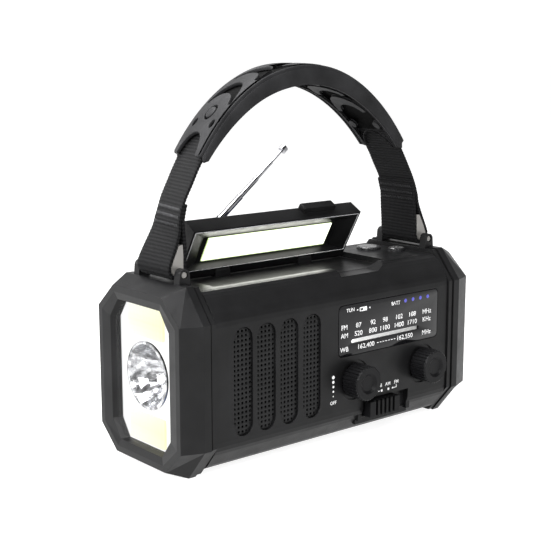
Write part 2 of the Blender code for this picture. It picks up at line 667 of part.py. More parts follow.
def build_controls():
    build_knob("volume_knob", VOLUME_X)
    build_knob("tuning_knob", TUNING_X)
    metal = material("control_can_steel", (0.5, 0.5, 0.52), 0.35, 0.9)
    for name, x, radius in (("volume_potentiometer", VOLUME_X, 8.0), ("tuning_capacitor", TUNING_X, 9.5)):
        can = add(name, cylinder("y", x, KNOB_Z, radius, *CONTROL_Y, 28), metal, smooth=35)
        bore = cylinder("y", x, KNOB_Z, KNOB_SHAFT_R + GAP, CONTROL_Y[0] - 1, CONTROL_Y[1] - 1, 20)
        boolean(can, bore)

    z = (SWITCH_Z[0] + 0.7, SWITCH_Z[1] - 0.7)
    lo = SLIDER_X + 0.2
    hi = SLIDER_X + SLIDER_W
    y = (PANEL_Y - 3.2, PANEL_Y + 2.7)
    middle = (lo + hi) / 2
    slider = add("band_switch_slider", block((lo, hi), y, z), case_plastic(), origin=(middle, PANEL_Y, 14.0))
    for i in range(SLIDER_RIDGES):
        x = lo + 3.4 + i * SLIDER_PITCH
        boolean(slider, block((x, x + SLIDER_PITCH / 2), (y[0] - 1, y[0] + 1.2), (z[0] - 1, z[1] + 1)))
    stem = block((middle - 1.5, middle + 1.5), (PANEL_Y + 2.0, PANEL_Y + 6.2), (13.0, 15.0))
    boolean(slider, stem, "UNION")
    add("band_switch_body", block((14.5, 41.5), (PANEL_Y + 6.6, PANEL_Y + 12.0), (10.0, 18.0)), metal)


def build_buttons():
    travel_floor = DECK_Z - WALL - 1.4
    for name, x, y, radius in BUTTONS:
        profile = [(travel_floor, radius + 1.0), (travel_floor + 0.9, radius + 1.0),
                   (travel_floor + 0.9, radius), (DECK_Z + 1.0, radius), (DECK_Z + 1.3, radius - 0.4)]
        add(name, turned("z", x, y, profile, 28), case_plastic(), origin=(x, y, DECK_Z), smooth=30)
    board = add("button_board", block(*BUTTON_BOARD), circuit_green())
    for _, x, y, _ in BUTTONS:
        boolean(board, cylinder("z", x, y, 1.6, BUTTON_BOARD[2][1] - 0.4, travel_floor - 1.4, 16), "UNION")


# ---------------------------------------------------------------- reading-lamp lid
def open_lid(bm):
    """Swing geometry drawn with the lid shut up to its half-open place."""
    return rotate(bm, "X", -LID_OPEN, (0.0, HINGE_Y, HINGE_Z))


def build_lid():
    origin = (0.5 * (LID_X[0] + LID_X[1]), HINGE_Y, HINGE_Z)
    front = HINGE_Y - LID_REACH
    rear = HINGE_Y + LID_BELOW
    low = HINGE_Z - LID_BELOW
    high = HINGE_Z + LID_ABOVE
    heel = [(HINGE_Y + LID_BELOW * math.cos(a), HINGE_Z + LID_BELOW * math.sin(a))
            for a in [-math.pi / 2 + math.pi / 2 * k / 5 for k in range(6)]]
    outline = heel + [(rear, high - 0.8), (rear - 0.8, high), (front + 1.0, high), (front, high - 1.0),
                      (front, low)]
    lid = add("lid_frame", open_lid(prism(outline, "x", *LID_X)), case_plastic(), origin=origin, smooth=30)

    mouth = rectangle((LID_X[0] + LID_LIP, LID_X[1] - LID_LIP), (front + LID_LIP, HINGE_Y - 3.4))
    floor = rectangle((LENS_X[0] - 3.0, LENS_X[1] + 3.0), (LENS_Y[0] - 0.8, LENS_Y[1] + 0.7))
    lens_z = low + LENS_DEPTH
    boolean(lid, open_lid(loft([(low - 1.0, mouth), (low, mouth), (lens_z + 0.2, floor)], "z")))
    bay = rectangle((LENS_X[0] - 0.4, LENS_X[1] + 0.4), (LENS_Y[0] - 0.4, LENS_Y[1] + 0.4))
    boolean(lid, open_lid(prism(bay, "z", lens_z - 0.6, lens_z + 2.6)))
    cell = rectangle((LID_X[0] + 2.0, LID_X[1] - 2.0), (front + 2.2, rear - 2.2))
    boolean(lid, open_lid(prism(cell, "z", high - 1.2, high + 1.0)))
    for x in HINGE_BLOCK_X:
        notch = block((x - 4.4, x + 4.4), (HINGE_Y - 3.0, rear + 1.0), (low - 1.0, HINGE_Z + 2.6))
        boolean(lid, open_lid(notch))
    boolean(lid, open_lid(cylinder("x", HINGE_Y, HINGE_Z, HINGE_PIN_R + GAP, -41.5, 24.5, 16)))
    tab = rounded(rectangle((6.0, 25.0), (front - 2.5, front + 0.5)), 0.8, 2)
    boolean(lid, open_lid(prism(tab, "z", low + 3.6, low + 7.6)), "UNION")

    blue = material("solar_cell_blue", (0.01, 0.015, 0.05), 0.12)
    panel = rectangle((LID_X[0] + 2.3, LID_X[1] - 2.3), (front + 2.5, rear - 2.5))
    add("solar_panel", open_lid(prism(panel, "z", high - 0.9, high - 0.1)), blue, origin=origin)

    strip = rectangle(LENS_X, LENS_Y)
    board = material("lamp_board_white", (0.9, 0.9, 0.86), 0.5)
    add("lamp_board", open_lid(prism(strip, "z", lens_z + 1.5, lens_z + 2.3)), board, origin=origin)
    lens = material("lamp_lens_white", (0.98, 0.98, 0.92), 0.35)
    add("lamp_lens", open_lid(prism(strip, "z", lens_z, lens_z + 1.1)), lens, origin=origin)

    pin = cylinder("x", HINGE_Y, HINGE_Z, HINGE_PIN_R, -39.5, 22.5, 16)
    add("lid_hinge_pin", pin, steel(), origin=origin, smooth=35)


# ---------------------------------------------------------------- antenna
def build_antenna():
    x, y, z = ANTENNA_X, ANTENNA_Y, ANTENNA_Z
    profile = [(63.2, 3.2), (65.7, 3.2), (65.7, 2.0), (68.8, 2.0), (68.8, 5.0), (70.6, 5.0)]
    base = add("antenna_base", turned("z", x, y, profile, 28), chrome(), origin=(x, y, z), smooth=35)
    cheek = [(x - 2.6, 70.0)] + [(x + 2.6 * math.cos(a), z + 2.6 * math.sin(a))
                                 for a in [math.pi - math.pi * k / 10 for k in range(11)]] + [(x + 2.6, 70.0)]
    for lo, hi in ((y - 3.2, y - 1.7), (y + 1.7, y + 3.2)):
        boolean(base, prism(cheek, "y", lo, hi), "UNION")
    boolean(base, cylinder("y", x, z, 1.2, y - 4.0, y + 4.0, 16))

    first = build_mast_section("antenna_mast_1", MAST[0], x)
    tang = [(x, z - 1.9), (x + 6.0, z - 1.9), (x + 6.0, z + 1.9), (x, z + 1.9), (x - 1.4, z + 1.3),
            (x - 1.9, z), (x - 1.4, z - 1.3)]
    boolean(first, tilt_mast(prism(tang, "y", y - 1.3, y + 1.3)), "UNION")
    boolean(first, tilt_mast(cylinder("y", x, z, 0.9, y - 3.4, y + 3.4, 16)), "UNION")
    boolean(first, tilt_mast(cylinder("x", y, z, MAST[1][0] / 2 + MAST_CLEARANCE, x + 6.5, x + 40.0, 20)))

    for index in range(1, len(MAST) - 1):
        tube = build_mast_section(f"antenna_mast_{index + 1}", MAST[index], x)
        _, start, end = MAST[index]
        bore_r = MAST[index + 1][0] / 2 + MAST_CLEARANCE
        boolean(tube, tilt_mast(cylinder("x", y, z, bore_r, x + start - 1.0, x + end + 1.0, 20)))
    build_mast_section("antenna_tip", MAST[-1], x)


def build_mast_section(name, section, x):
    """One mast tube: outer diameter, start and end distance from the tilt pin."""
    diameter, start, end = section
    r = diameter / 2
    if name == "antenna_tip":
        profile = [(x + start, r), (x + end - 2.6, r), (x + end - 2.6, 1.9), (x + end - 0.4, 1.9),
                   (x + end, 1.3)]
    else:
        profile = [(x + start, r), (x + end - 0.2, r), (x + end, r - 0.1)]
    bm = tilt_mast(turned("x", ANTENNA_Y, ANTENNA_Z, profile, 20))
    return add(name, bm, chrome(), origin=(ANTENNA_X, ANTENNA_Y, ANTENNA_Z), smooth=35)


def tilt_mast(bm):
    return rotate(bm, "Y", -ANTENNA_TILT, (ANTENNA_X, ANTENNA_Y, ANTENNA_Z))


# ---------------------------------------------------------------- strap handle
def arch_path(steps=14):
    """Centre line (x, z) of the webbing from the left stitching over the hand grip to the right."""
    foot_x, foot_z = ARCH_FOOT
    left = bezier((-foot_x, foot_z), *ARCH_LEFT_PULL, ARCH_TOP, steps)
    right = bezier(ARCH_TOP, *ARCH_RIGHT_PULL, ARCH_FOOT, steps)
    return left + right[1:]


def twisted(bm):
    """Turn the strap's left leg, so that its rear edge lies further in than its front edge."""
    for vert in bm.verts:
        x, y, z = vert.co
        vert.co.x += TWIST * ease(z, *TWIST_Z) * ease(-x, *TWIST_X) * y
    return bm


def offset(path, amounts):
    """The path moved to its upper (outer) side by one amount per point."""
    moved = []
    for i, (x, z) in enumerate(path):
        ahead = path[min(i + 1, len(path) - 1)]
        back = path[max(i - 1, 0)]
        run = Vector((ahead[0] - back[0], ahead[1] - back[1])).normalized()
        moved.append((x - run.y * amounts[i], z + run.x * amounts[i]))
    return moved


def loop_outline(side, grow):
    """Half-open loop round the strap pin, from its outer to its inner strand, grown by an amount."""
    radius = LOOP_R + grow
    centre = side * (PIN_X - 0.1)
    arc = [(centre + side * radius * math.cos(a), LOOP_Z + radius * math.sin(a))
           for a in [LOOP_START - (math.pi + LOOP_START) * k / 12 for k in range(13)]]
    spread = grow + WEB_T / 2 + 0.1
    top_x, top_z = LOOP_TOP
    outer_end = (side * (top_x + spread), top_z + grow * 3.0)
    inner_end = (side * (top_x - spread), top_z + grow * 3.0)
    outer_pull = [(side * (x + grow), z) for x, z in LOOP_OUTER_PULL]
    inner_pull = [(side * (x - grow), z) for x, z in LOOP_INNER_PULL]
    outer = bezier(outer_end, *outer_pull, arc[0], 6)
    inner = bezier(arc[-1], *inner_pull, inner_end, 4)
    return outer[:-1] + arc + inner[1:]


def build_webbing():
    path = arch_path()
    half = [WEB_T / 2 if z > WEB_DOUBLE_TO else WEB_T for _, z in path]
    over = offset(path, half)
    under = offset(path, [-h for h in half])
    right = loop_outline(1, WEB_T / 2)
    left = loop_outline(-1, WEB_T / 2)
    outline = over[1:-1] + right + list(reversed(under[1:-1])) + list(reversed(left))
    band = twisted(prism(outline, "y", -WEB_HALF_Y, WEB_HALF_Y))
    strap = add("handle_webbing", band, webbing_nylon(), smooth=40)
    for side in (-1, 1):
        hole = prism(loop_outline(side, -WEB_T / 2), "y", -WEB_HALF_Y - 2, WEB_HALF_Y + 2)
        boolean(strap, twisted(hole))


def build_grip():
    path = arch_path(20)
    path = [p for p in path if p[1] > GRIP_FOOT_Z]
    count = len(path) - 1
    share = [math.sin(math.pi * i / count) for i in range(count + 1)]
    web = WEB_T / 2 + GAP

    def band(low, high, y0, y1):
        outline = offset(path, high) + list(reversed(offset(path, low)))
        return twisted(prism(outline, "y", y0, y1))

    top = add("grip_top", band([web + 0.6] * len(path), [web + 0.6 + GRIP_T] * len(path),
                               -GRIP_HALF_Y, GRIP_HALF_Y), soft_rubber(), smooth=40)
    for end in (0, -1):
        x, z = path[end]
        inner = path[3] if end == 0 else path[-4]
        run = Vector((inner[0] - x, inner[1] - z)).normalized()
        angle = math.atan2(run.y, run.x)
        notch = rounded(rectangle((-6.0, 10.0), (-8.2, 8.2)), 7.0, 4)
        tool = rotate(prism(notch, "z", -6.0, 6.0), "Y", -angle, (0.0, 0.0, 0.0))
        bmesh.ops.translate(tool, verts=tool.verts, vec=(x, 0.0, z))
        boolean(top, twisted(tool))

    depth = [-(web + 1.4 + 3.4 * s) for s in share]
    whole_base = band(depth, [web + 0.3] * len(path), -GRIP_HALF_Y, GRIP_HALF_Y)
    base = add("grip_base", whole_base, soft_rubber(), smooth=40)
    whole = arch_path(20)
    channel = offset(whole, [web + 3.0] * len(whole)) + list(reversed(offset(whole, [-web] * len(whole))))
    boolean(base, twisted(prism(channel, "y", -WEB_HALF_Y - 0.4, WEB_HALF_Y + 0.4)))


def build_hangers():
    """Each strap end goes round a wedge-shaped hanger, which turns on a pin held by the cap's lugs."""
    for side, name in ((-1, "strap_hanger_left"), (1, "strap_hanger_right")):
        x = side * PIN_X
        pin = cylinder("y", x, PIN_Z, PIN_R, -PIN_HALF_Y, PIN_HALF_Y, 16)
        hanger = add(name, pin, hanger_paint(), origin=(x, 0.0, PIN_Z), smooth=35)
        wedge = [point for point in loop_outline(side, -WEB_T / 2 - GAP) if point[1] < HANGER_TOP_Z]
        boolean(hanger, twisted(prism(wedge, "y", -HANGER_HALF_Y, HANGER_HALF_Y)), "UNION")


# ---------------------------------------------------------------- crank and generator
def gear_outline(x, z, teeth, phase=0.0):
    """Slim straight-sided teeth that clear their mates at every turn."""
    pitch_r = GEAR_MODULE * teeth / 2
    root = pitch_r - 1.05
    tip = pitch_r + 0.75
    outline = []
    for i in range(teeth):
        for share, r in ((-0.27, root), (-0.10, tip), (0.10, tip), (0.27, root)):
            turn = phase + 2 * math.pi * (i + share) / teeth
            outline.append((x + r * math.cos(turn), z + r * math.sin(turn)))
    return outline


def idler_centre():
    return CRANK_X + GEAR_MODULE * (DRIVE_TEETH + IDLER_SMALL_TEETH) / 2


def pinion_centre_z():
    return CRANK_Z - GEAR_MODULE * (IDLER_LARGE_TEETH + PINION_TEETH) / 2


def build_gear_train():
    drive = add("drive_gear", prism(gear_outline(CRANK_X, CRANK_Z, DRIVE_TEETH), "y", *GEAR_Y), gear_nylon(),
                origin=(CRANK_X, GEAR_Y[0], CRANK_Z))
    boolean(drive, cylinder("y", CRANK_X, CRANK_Z, 3.0, GEAR_Y[1] - 1, 36.6, 20), "UNION")
    boolean(drive, cylinder("y", CRANK_X, CRANK_Z, 2.0, 17.0, GEAR_Y[0] + 1, 20), "UNION")
    boolean(drive, cylinder("y", CRANK_X, CRANK_Z, 1.1, 32.0, 37.0, 16))

    bush = add("crank_bushing", cylinder("y", CRANK_X, CRANK_Z, 5.0, 28.3, 31.9, 28),
               material("bushing_bronze", (0.6, 0.42, 0.2), 0.35, 0.9), smooth=35)
    boolean(bush, cylinder("y", CRANK_X, CRANK_Z, 3.3, 27.0, 33.0, 20))

    x = idler_centre()
    half_tooth = math.pi / IDLER_SMALL_TEETH
    small = gear_outline(x, CRANK_Z, IDLER_SMALL_TEETH, math.pi + half_tooth)
    idler = add("idler_gear", prism(small, "y", GEAR2_Y[1] - 0.5, GEAR_Y[1]), gear_nylon(),
                origin=(x, GEAR2_Y[0], CRANK_Z))
    large = gear_outline(x, CRANK_Z, IDLER_LARGE_TEETH, -math.pi / 2)
    boolean(idler, prism(large, "y", *GEAR2_Y), "UNION")
    boolean(idler, cylinder("y", x, CRANK_Z, 1.5, 14.0, 28.5, 16), "UNION")

    z = pinion_centre_z()
    half_tooth = math.pi / PINION_TEETH
    teeth = gear_outline(x, z, PINION_TEETH, math.pi / 2 + half_tooth)
    pinion = add("generator_pinion", prism(teeth, "y", *GEAR2_Y), gear_nylon(), origin=(x, GEAR2_Y[0], z))
    boolean(pinion, cylinder("y", x, z, 1.2, 12.0, GEAR2_Y[0] + 1, 16), "UNION")
    can = [(-6.0, 3.0), (-4.5, 3.0), (-4.5, 11.5), (14.0, 11.5), (14.0, 4.0), (15.5, 4.0)]
    generator = add("generator", turned("y", x, z, can, 32),
                    material("generator_steel", (0.55, 0.55, 0.57), 0.3, 0.9), smooth=35)
    boolean(generator, cylinder("y", x, z, 1.5, 10.5, 17.0, 16))


def build_crank():
    hub_x = CRANK_X
    tip_x = CRANK_X - CRANK_REACH
    pivot = (hub_x, CRANK_Y, CRANK_Z)
    outline = []
    for k in range(13):
        a = -math.pi / 2 + math.pi * k / 12
        outline.append((hub_x + HUB_R * math.cos(a), CRANK_Z + HUB_R * math.sin(a)))
    outline += [(tip_x + 2, CRANK_Z + 9.0), (tip_x - 3.0, CRANK_Z + 7.0), (tip_x - 3.0, CRANK_Z - 7.0),
                (tip_x + 2, CRANK_Z - 9.0)]
    arm = add("crank_arm", prism(outline, "y", *ARM_Y), case_plastic(), origin=pivot, smooth=30)
    window_z = (CRANK_Z - 5.0, CRANK_Z + 5.0)
    boolean(arm, block((tip_x - 5.0, tip_x + 28.5), (ARM_Y[0] - 1, ARM_Y[1] + 1), window_z))
    boolean(arm, cylinder("y", hub_x, CRANK_Z, 3.3, ARM_Y[0] - 1, 36.9, 20))
    boolean(arm, cylinder("y", hub_x, CRANK_Z, SCREW_HOLE_R, 36.0, ARM_Y[1] + 1, 16))
    boolean(arm, cylinder("z", tip_x, CRANK_Y, 1.3, 30.5, 47.5, 16))
    screw = [(32.6, 0.9), (38.3, 0.9), (38.3, 3.0), (39.2, 3.0), (39.5, 2.4)]
    add("crank_screw", turned("y", hub_x, CRANK_Z, screw, 20), steel(), origin=pivot, smooth=35)

    stem = [(tip_x + 3.0, 2.6), (tip_x + 4.2, 2.6), (tip_x + 4.2, 1.6), (tip_x + 27.0, 1.6)]
    fold = (tip_x, CRANK_Y, CRANK_Z)
    rod = turned("x", CRANK_Y, CRANK_Z, stem, 20)
    knob_stem = add("crank_knob_stem", rod, steel(), origin=fold, smooth=35)
    eye = circle(tip_x, CRANK_Y, 2.3, 20)
    boolean(knob_stem, prism(eye, "z", CRANK_Z - 4.6, CRANK_Z + 4.6), "UNION")
    neck = block((tip_x, tip_x + 3.5), (CRANK_Y - 1.9, CRANK_Y + 1.9), (CRANK_Z - 1.9, CRANK_Z + 1.9))
    boolean(knob_stem, neck, "UNION")
    boolean(knob_stem, cylinder("z", tip_x, CRANK_Y, 1.0, CRANK_Z - 6.6, CRANK_Z + 6.6, 16), "UNION")
    sleeve = [(tip_x + 4.8, PEG_R - 0.6), (tip_x + 5.4, PEG_R), (tip_x + 27.2, PEG_R),
              (tip_x + 28.0, PEG_R - 0.8)]
    grip = turned("x", CRANK_Y, CRANK_Z, sleeve, 28)
    cover = add("crank_knob", grip, soft_rubber(), origin=fold, smooth=35)
    boolean(cover, cylinder("x", CRANK_Y, CRANK_Z, 1.9, tip_x + 4.0, tip_x + 27.3, 20))


# ---------------------------------------------------------------- electronics and ports
def build_electronics():
    add("main_board", block(*MAIN_BOARD), circuit_green())
    sleeve = material("battery_blue_sleeve", (0.03, 0.12, 0.4), 0.35)
    profile = [(BATTERY_X[0], BATTERY_R), (BATTERY_X[1], BATTERY_R), (BATTERY_X[1], 3.0),
               (BATTERY_X[1] + 1.0, 3.0)]
    add("battery_cell", turned("x", BATTERY_Y, BATTERY_Z, profile, 32), sleeve, smooth=35)


def build_ports():
    rubber = soft_rubber()
    outline = rectangle((POCKET_Y[0] + 0.4, POCKET_Y[1] - 0.4), (POCKET_Z[0] + 0.5, POCKET_Z[1] - 0.4))
    add("port_flap", prism(rounded(outline, 1.7), "x", 80.5, 82.4), rubber, origin=(81.6, 0.0, 33.0))
    board = add("port_board", block(*PORT_BOARD), circuit_green())
    for y, z in SOCKETS:
        boolean(board, block((71.0, 79.6), y, z), "UNION")
        boolean(board, block((72.6, 81.0), (y[0] + 0.6, y[1] - 0.6), (z[0] + 0.6, z[1] - 0.6)))


def main():
    clear_scene()
    build_front_shell()
    build_back_cover()
    build_screws()
    build_torch_cap()
    build_port_cap()
    build_battery_door()
    build_torch()
    build_speaker()
    build_dial()
    build_controls()
    build_buttons()
    build_lid()
    build_antenna()
    build_webbing()
    build_grip()
    build_hangers()
    build_gear_train()
    build_crank()
    build_electronics()
    build_ports()


main()
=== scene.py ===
"""Detailed look of the emergency radio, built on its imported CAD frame.

Lengths are millimetres until they reach Blender, where MM turns them into metres.
X runs along the case (torch at -X), the control panel faces -Y and Z is up.
"""

import bisect
import math

import bmesh
import bpy
from mathutils import Matrix, Vector
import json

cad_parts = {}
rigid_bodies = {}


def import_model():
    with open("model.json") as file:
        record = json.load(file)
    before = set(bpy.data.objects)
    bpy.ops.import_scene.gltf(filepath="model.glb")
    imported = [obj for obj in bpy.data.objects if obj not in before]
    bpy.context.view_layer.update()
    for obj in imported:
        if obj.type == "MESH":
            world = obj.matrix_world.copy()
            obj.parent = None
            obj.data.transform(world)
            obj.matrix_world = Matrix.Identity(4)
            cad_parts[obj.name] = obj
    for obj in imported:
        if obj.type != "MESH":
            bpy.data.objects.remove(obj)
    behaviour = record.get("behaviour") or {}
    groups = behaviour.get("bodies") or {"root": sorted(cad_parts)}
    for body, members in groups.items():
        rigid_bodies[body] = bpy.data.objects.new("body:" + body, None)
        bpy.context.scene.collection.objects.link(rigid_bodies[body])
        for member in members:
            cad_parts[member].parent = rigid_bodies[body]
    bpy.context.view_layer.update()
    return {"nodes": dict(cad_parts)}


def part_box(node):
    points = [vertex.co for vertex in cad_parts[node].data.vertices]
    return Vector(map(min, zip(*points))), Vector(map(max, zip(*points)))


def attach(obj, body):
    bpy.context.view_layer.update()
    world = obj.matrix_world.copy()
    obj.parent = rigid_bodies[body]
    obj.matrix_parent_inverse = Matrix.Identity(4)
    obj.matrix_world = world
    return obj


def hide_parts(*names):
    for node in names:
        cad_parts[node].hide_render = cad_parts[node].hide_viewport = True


MM = 0.001

# ---------------- driving dimensions (mm)
PANEL_Y = -31.0                 # front face of the panel
GRILLE_X = (-53.0, -41.0, -28.8, -16.3)
GRILLE_Z = 38.5
GRILLE_SIZE = (9.6, 45.0)
HOLE_PITCH = 1.98
HOLE_HALF = 0.5
HOLE_MARGIN = 0.55              # from a hole's middle to the slot's outline, at the least
GRILLE_CLEARANCE = 0.15
GRILLE_THICKNESS = 1.1
GRILLE_DEPTH = 0.85             # behind the panel's face
DIAL_BAR = (6.2, 48.3, 45.5)    # left end, right end and height of the tuning slot
LID_HINGE = (11.26, 75.6)       # y, z
LID_OPEN = math.radians(60.5)
LID_REACH = 24.6                # from the hinge to the lid's front edge
LID_BELOW = 2.2                 # the shut lid's underside, under the hinge
LID_ABOVE = 6.5                 # and its outer face, over it

ARCH_LEFT = ((-65.8, 102.0), (-58.5, 129.0), (-33.5, 159.8), (-1.3, 159.8))
ARCH_RIGHT = ((-1.3, 159.8), (31.0, 159.8), (57.2, 129.0), (65.8, 102.0))
TWIST = 0.2                     # sideways shift of the strap's left leg for each unit of depth
TWIST_Z = (86.0, 108.0)
TWIST_X = (-8.0, 28.0)
LOOP_X = 70.1
LOOP_R = 3.85
LOOP_Z = 83.4
LOOP_START = math.radians(20)   # where the loop's round part begins, up its outer side
STITCH_Z = (100.4, 103.4, 106.4)
WEB_HALF = 11.0
WEB_T = 1.2
UV_UNIT = 100                   # millimetres of webbing for each unit of its U and V
RIB_PITCH = 1.5
RIB_HEIGHT = 0.2
YARN_PITCH = 0.85
DRIFT = (0.06, 3.7)             # the woven strap wanders sideways: how far, and over what length
SWELL = (0.004, 1.9)            # and its width varies: by what share, and over what length
WEB_EDGE = ((0.0, 0.0), (0.15, 0.42), (0.6, 0.5))       # in from the edge, and up in thicknesses
FLARE_FROM_Z = 118.0            # below this height the arch's strap stands off its curve
FLARE_TO_Z = 108.0
FLARE_OUT = 0.8
ARCH_FOOT_Z = 104.5             # the arch's curve is used above this height, the strap's ends below

# right end of the strap in x, z: tail, then down inside the hanger, and up again outside it
STRAP_TAIL = ((63.1, 108.8), (64.05, 105.6))
STRAP_DOWN = ((64.95, 102.3), (65.3, 97.0), (65.9, 92.0))
STRAP_UP = ((71.8, 90.0), (67.0, 96.2), (66.8, 101.5))

STITCH_STEP = 0.55              # across the strap, and half of the zigzag's height
STITCH_COUNT = 37
STITCH_RADIUS = 0.17
STITCH_REACH = (20.0, 30.0)     # along the strap: end of the tail, and start of the part outside it

GRIP_FOOT_Z = 125.5             # the grip covers the arch above this height
GRIP_HALF = 12.6
GRIP_UNDER_HALF = 10.9
GRIP_TOP = (1.55, 3.25)         # top plate, measured outwards from the webbing's middle
GRIP_CROWN = 0.7                # how far the top plate falls away at its edges
GRIP_UNDER_THICKNESS = 1.2
GRIP_DEPTH = (2.35, 3.4)        # of the grip below the webbing's middle at its ends, and more at its crown
GRIP_RAIL_TOP = 1.25
RAIL_INNER = 11.35
RAIL_SOFT = 0.45
RAIL_OVERHANG = 0.6             # of the side bands past the plates' ends
SHADE_FILLER_HALF = 11.2
BOSS_AT = 20.5                  # from the grip's end
BOSS_STEPS = ((2.9, 1.4), (2.9, 2.9), (2.75, 3.3), (2.2, 3.6), (1.2, 3.8), (0.4, 3.85))   # radius, height

# grip cut-outs: x from the plate's end, y across
NOTCH = (-1.0, 11.5, 8.4)       # centre and two radii of the arch-shaped cut at the plate's end
NOTCH_FROM_X = 0.9
CRESCENT_X = (22.0, 38.0)
CRESCENT_OUTER = (17.0, 2.3, 1.36)      # radius along the grip, distance in from the side, half angle
CRESCENT_INNER = (8.6, 4.0, 1.30)
CRESCENT_SHIFT = 1.0            # of the inner arc, away from the plate's end
EYE = (15.0, 7.6, 2.1, 1.5)     # centre and two radii of the small oval holes
BOSS_HOLE = (3.9, 3.6)
WEDGE = ((57.0, 7.2), (60.5, 9.4), (69.0, 3.4), (68.0, 2.2))

REFLECTOR_SIDES = 30
REFLECTOR_RIM = ((-78.45, 14.3), (-78.6, 13.7), (-78.5, 13.0))                      # x, radius
REFLECTOR_CUP = ((-75.6, 11.4), (-72.2, 9.6), (-69.2, 7.4), (-67.0, 5.2), (-65.7, 3.3))

SOLAR_COLUMNS = 6
SOLAR_ROWS = 2
CELL_GAP = 0.35                 # between a cell and the edge of its place
BUSBAR_HALF = 0.12
BUSBAR_SHARES = (0.3, 0.7)      # of a cell's width

SKY_WHITE_TO = 0.12             # height of a direction, as the Z of its unit vector
SKY_GREY_FROM = 0.34
SKY_WHITE = 1.05
SKY_GREY = 0.32
TABLE_GLOW = 0.90
LAMP_GLOW = 6.0
COB_COLUMNS = 11
COB_ROWS = 6
REFLECTION_STREAK_BREAK = 90.0             # how quickly the reflector's painted reflection streaks change along its depth, per metre
FLOOR_RADIUS = 40000.0

# dial print: heights of the rows and centres of the columns
DIAL_TOP_Z = 58.6
DIAL_ROWS = ((51.2, "FM", ("87", "92", "98", "102", "108"), "MHz"),
             (47.6, "AM", ("520", "800", "1100", "1400", "1710"), "KHz"))
WEATHER_Z = 41.5
NAME_X = 2.0
NUMBER_X = (10.4, 19.1, 26.6, 35.5, 43.9)
WEATHER_NUMBERS = (("162.400", 15.2), ("162.550", 39.3))
UNIT_X = 53.3
LETTER_HEIGHT = 2.1
LETTER_WEIGHT = 0.006           # added to each side of a stroke, in units of the letters' size
SMALL_LETTER_HEIGHT = 1.6
DIGIT_SQUEEZE = 1.1
INK = 0.02                      # thickness of printed shapes
CELL_ICON_X = (10.9, 15.3)
CELL_CHARGE_X = (11.3, 12.9)
CELL_ICON_DOTS_X = (9.6, 17.0)
LEVEL_DOT_X = 39.2
LEVEL_DOT_PITCH = 4.8
DASH_X = 21.6
DASH_LENGTH = 1.1
DASH_PITCH = 1.75

# panel print
BAND_MARKS = (("WB", 23.5), ("AM", 28.9), ("FM", 34.4))
BAND_MARK_Z = 21.8
BAND_DOTS_X = (25.2, 29.4)
BAND_DOT_Z = 20.1
BAND_LINE = (22.4, 24.0)
# an arrowhead to the left, with a line that turns up at its right end
BAND_HOOK = ((31.4, 20.1), (32.3, 20.6), (32.3, 20.25), (34.2, 20.25), (34.2, 21.3),
             (34.55, 21.3), (34.55, 19.95), (32.3, 19.95), (32.3, 19.6))
VOLUME_DOTS = (-4.1, 31.4)      # x and z of the loudest
VOLUME_DOT_PITCH = 2.1
OFF_MARK = (-4.0, 19.4, 1.5)    # x, foot and height

CAMERA_AT = (-336.08, -386.67, 169.23)
CAMERA_YAW = math.radians(40.12)
CAMERA_PITCH = math.radians(10.90)
CAMERA_LENS = 77.2

LIGHTS = (                      # name, place, aim, width and height, watts
    ("key_panel", (-620, -60, 420), (-60, 0, 60), (360, 360), 9.0),
    ("front_panel", (-250, -560, 520), (20, 0, 50), (300, 300), 4.5),
    ("overhead_panel", (-80, 160, 700), (0, 0, 60), (520, 420), 14.0),
    ("rear_strip", (-260, 620, 330), (0, 0, 90), (520, 140), 1.6),
)


# ---------------- node materials
class Shader:
    """A node material with short calls for the parts that every finish uses."""

    def __init__(self, name):
        self.material = bpy.data.materials.new(name)
        self.material.use_nodes = True
        self.tree = self.material.node_tree
        self.body = self.tree.nodes["Principled BSDF"]

    def feed(self, socket, value):
        if isinstance(value, bpy.types.NodeSocket):
            self.tree.links.new(value, socket)
        elif isinstance(value, tuple) and socket.type == "RGBA":
            socket.default_value = (*value, 1.0)
        else:
            socket.default_value = value

    def node(self, kind, inputs, **settings):
        node = self.tree.nodes.new(kind)
        for key, value in settings.items():
            setattr(node, key, value)
        for key, value in inputs.items():
            self.feed(node.inputs[key], value)
        return node

    def finish(self, **inputs):
        for key, value in inputs.items():
            self.feed(self.body.inputs[key.replace("_", " ")], value)
        return self.material

    def place(self, kind="Object", scale=(1.0, 1.0, 1.0)):
        source = self.node("ShaderNodeTexCoord", {}).outputs[kind]
        return self.node("ShaderNodeMapping", {"Vector": source, "Scale": scale}).outputs[0]

    def noise(self, vector, size, detail=2.0):
        """Noise whose features are about size wide, in thousandths of the vector's unit."""
        inputs = {"Vector": vector, "Scale": 1.0 / (size * MM), "Detail": detail}
        return self.node("ShaderNodeTexNoise", inputs).outputs["Fac"]

    def spread(self, value, low, high, source=(0.3, 0.7)):
        inputs = {"Value": value, "From Min": source[0], "From Max": source[1],
                  "To Min": low, "To Max": high}
        return self.node("ShaderNodeMapRange", inputs).outputs[0]

    def blend(self, factor, one, two):
        node = self.node("ShaderNodeMix", {}, data_type="RGBA")
        self.feed(node.inputs[0], factor)
        self.feed(node.inputs[6], one)
        self.feed(node.inputs[7], two)
        return node.outputs[2]

    def maths(self, operation, one, two=0.0, three=0.0):
        node = self.node("ShaderNodeMath", {}, operation=operation)
        for socket, value in zip(node.inputs, (one, two, three)):
            self.feed(socket, value)
        return node.outputs[0]

    def axis(self, vector, name):
        return self.node("ShaderNodeSeparateXYZ", {"Vector": vector}).outputs[name]

    def bump(self, height, depth, strength=1.0):
        inputs = {"Height": height, "Distance": depth * MM, "Strength": strength}
        return self.node("ShaderNodeBump", inputs).outputs[0]


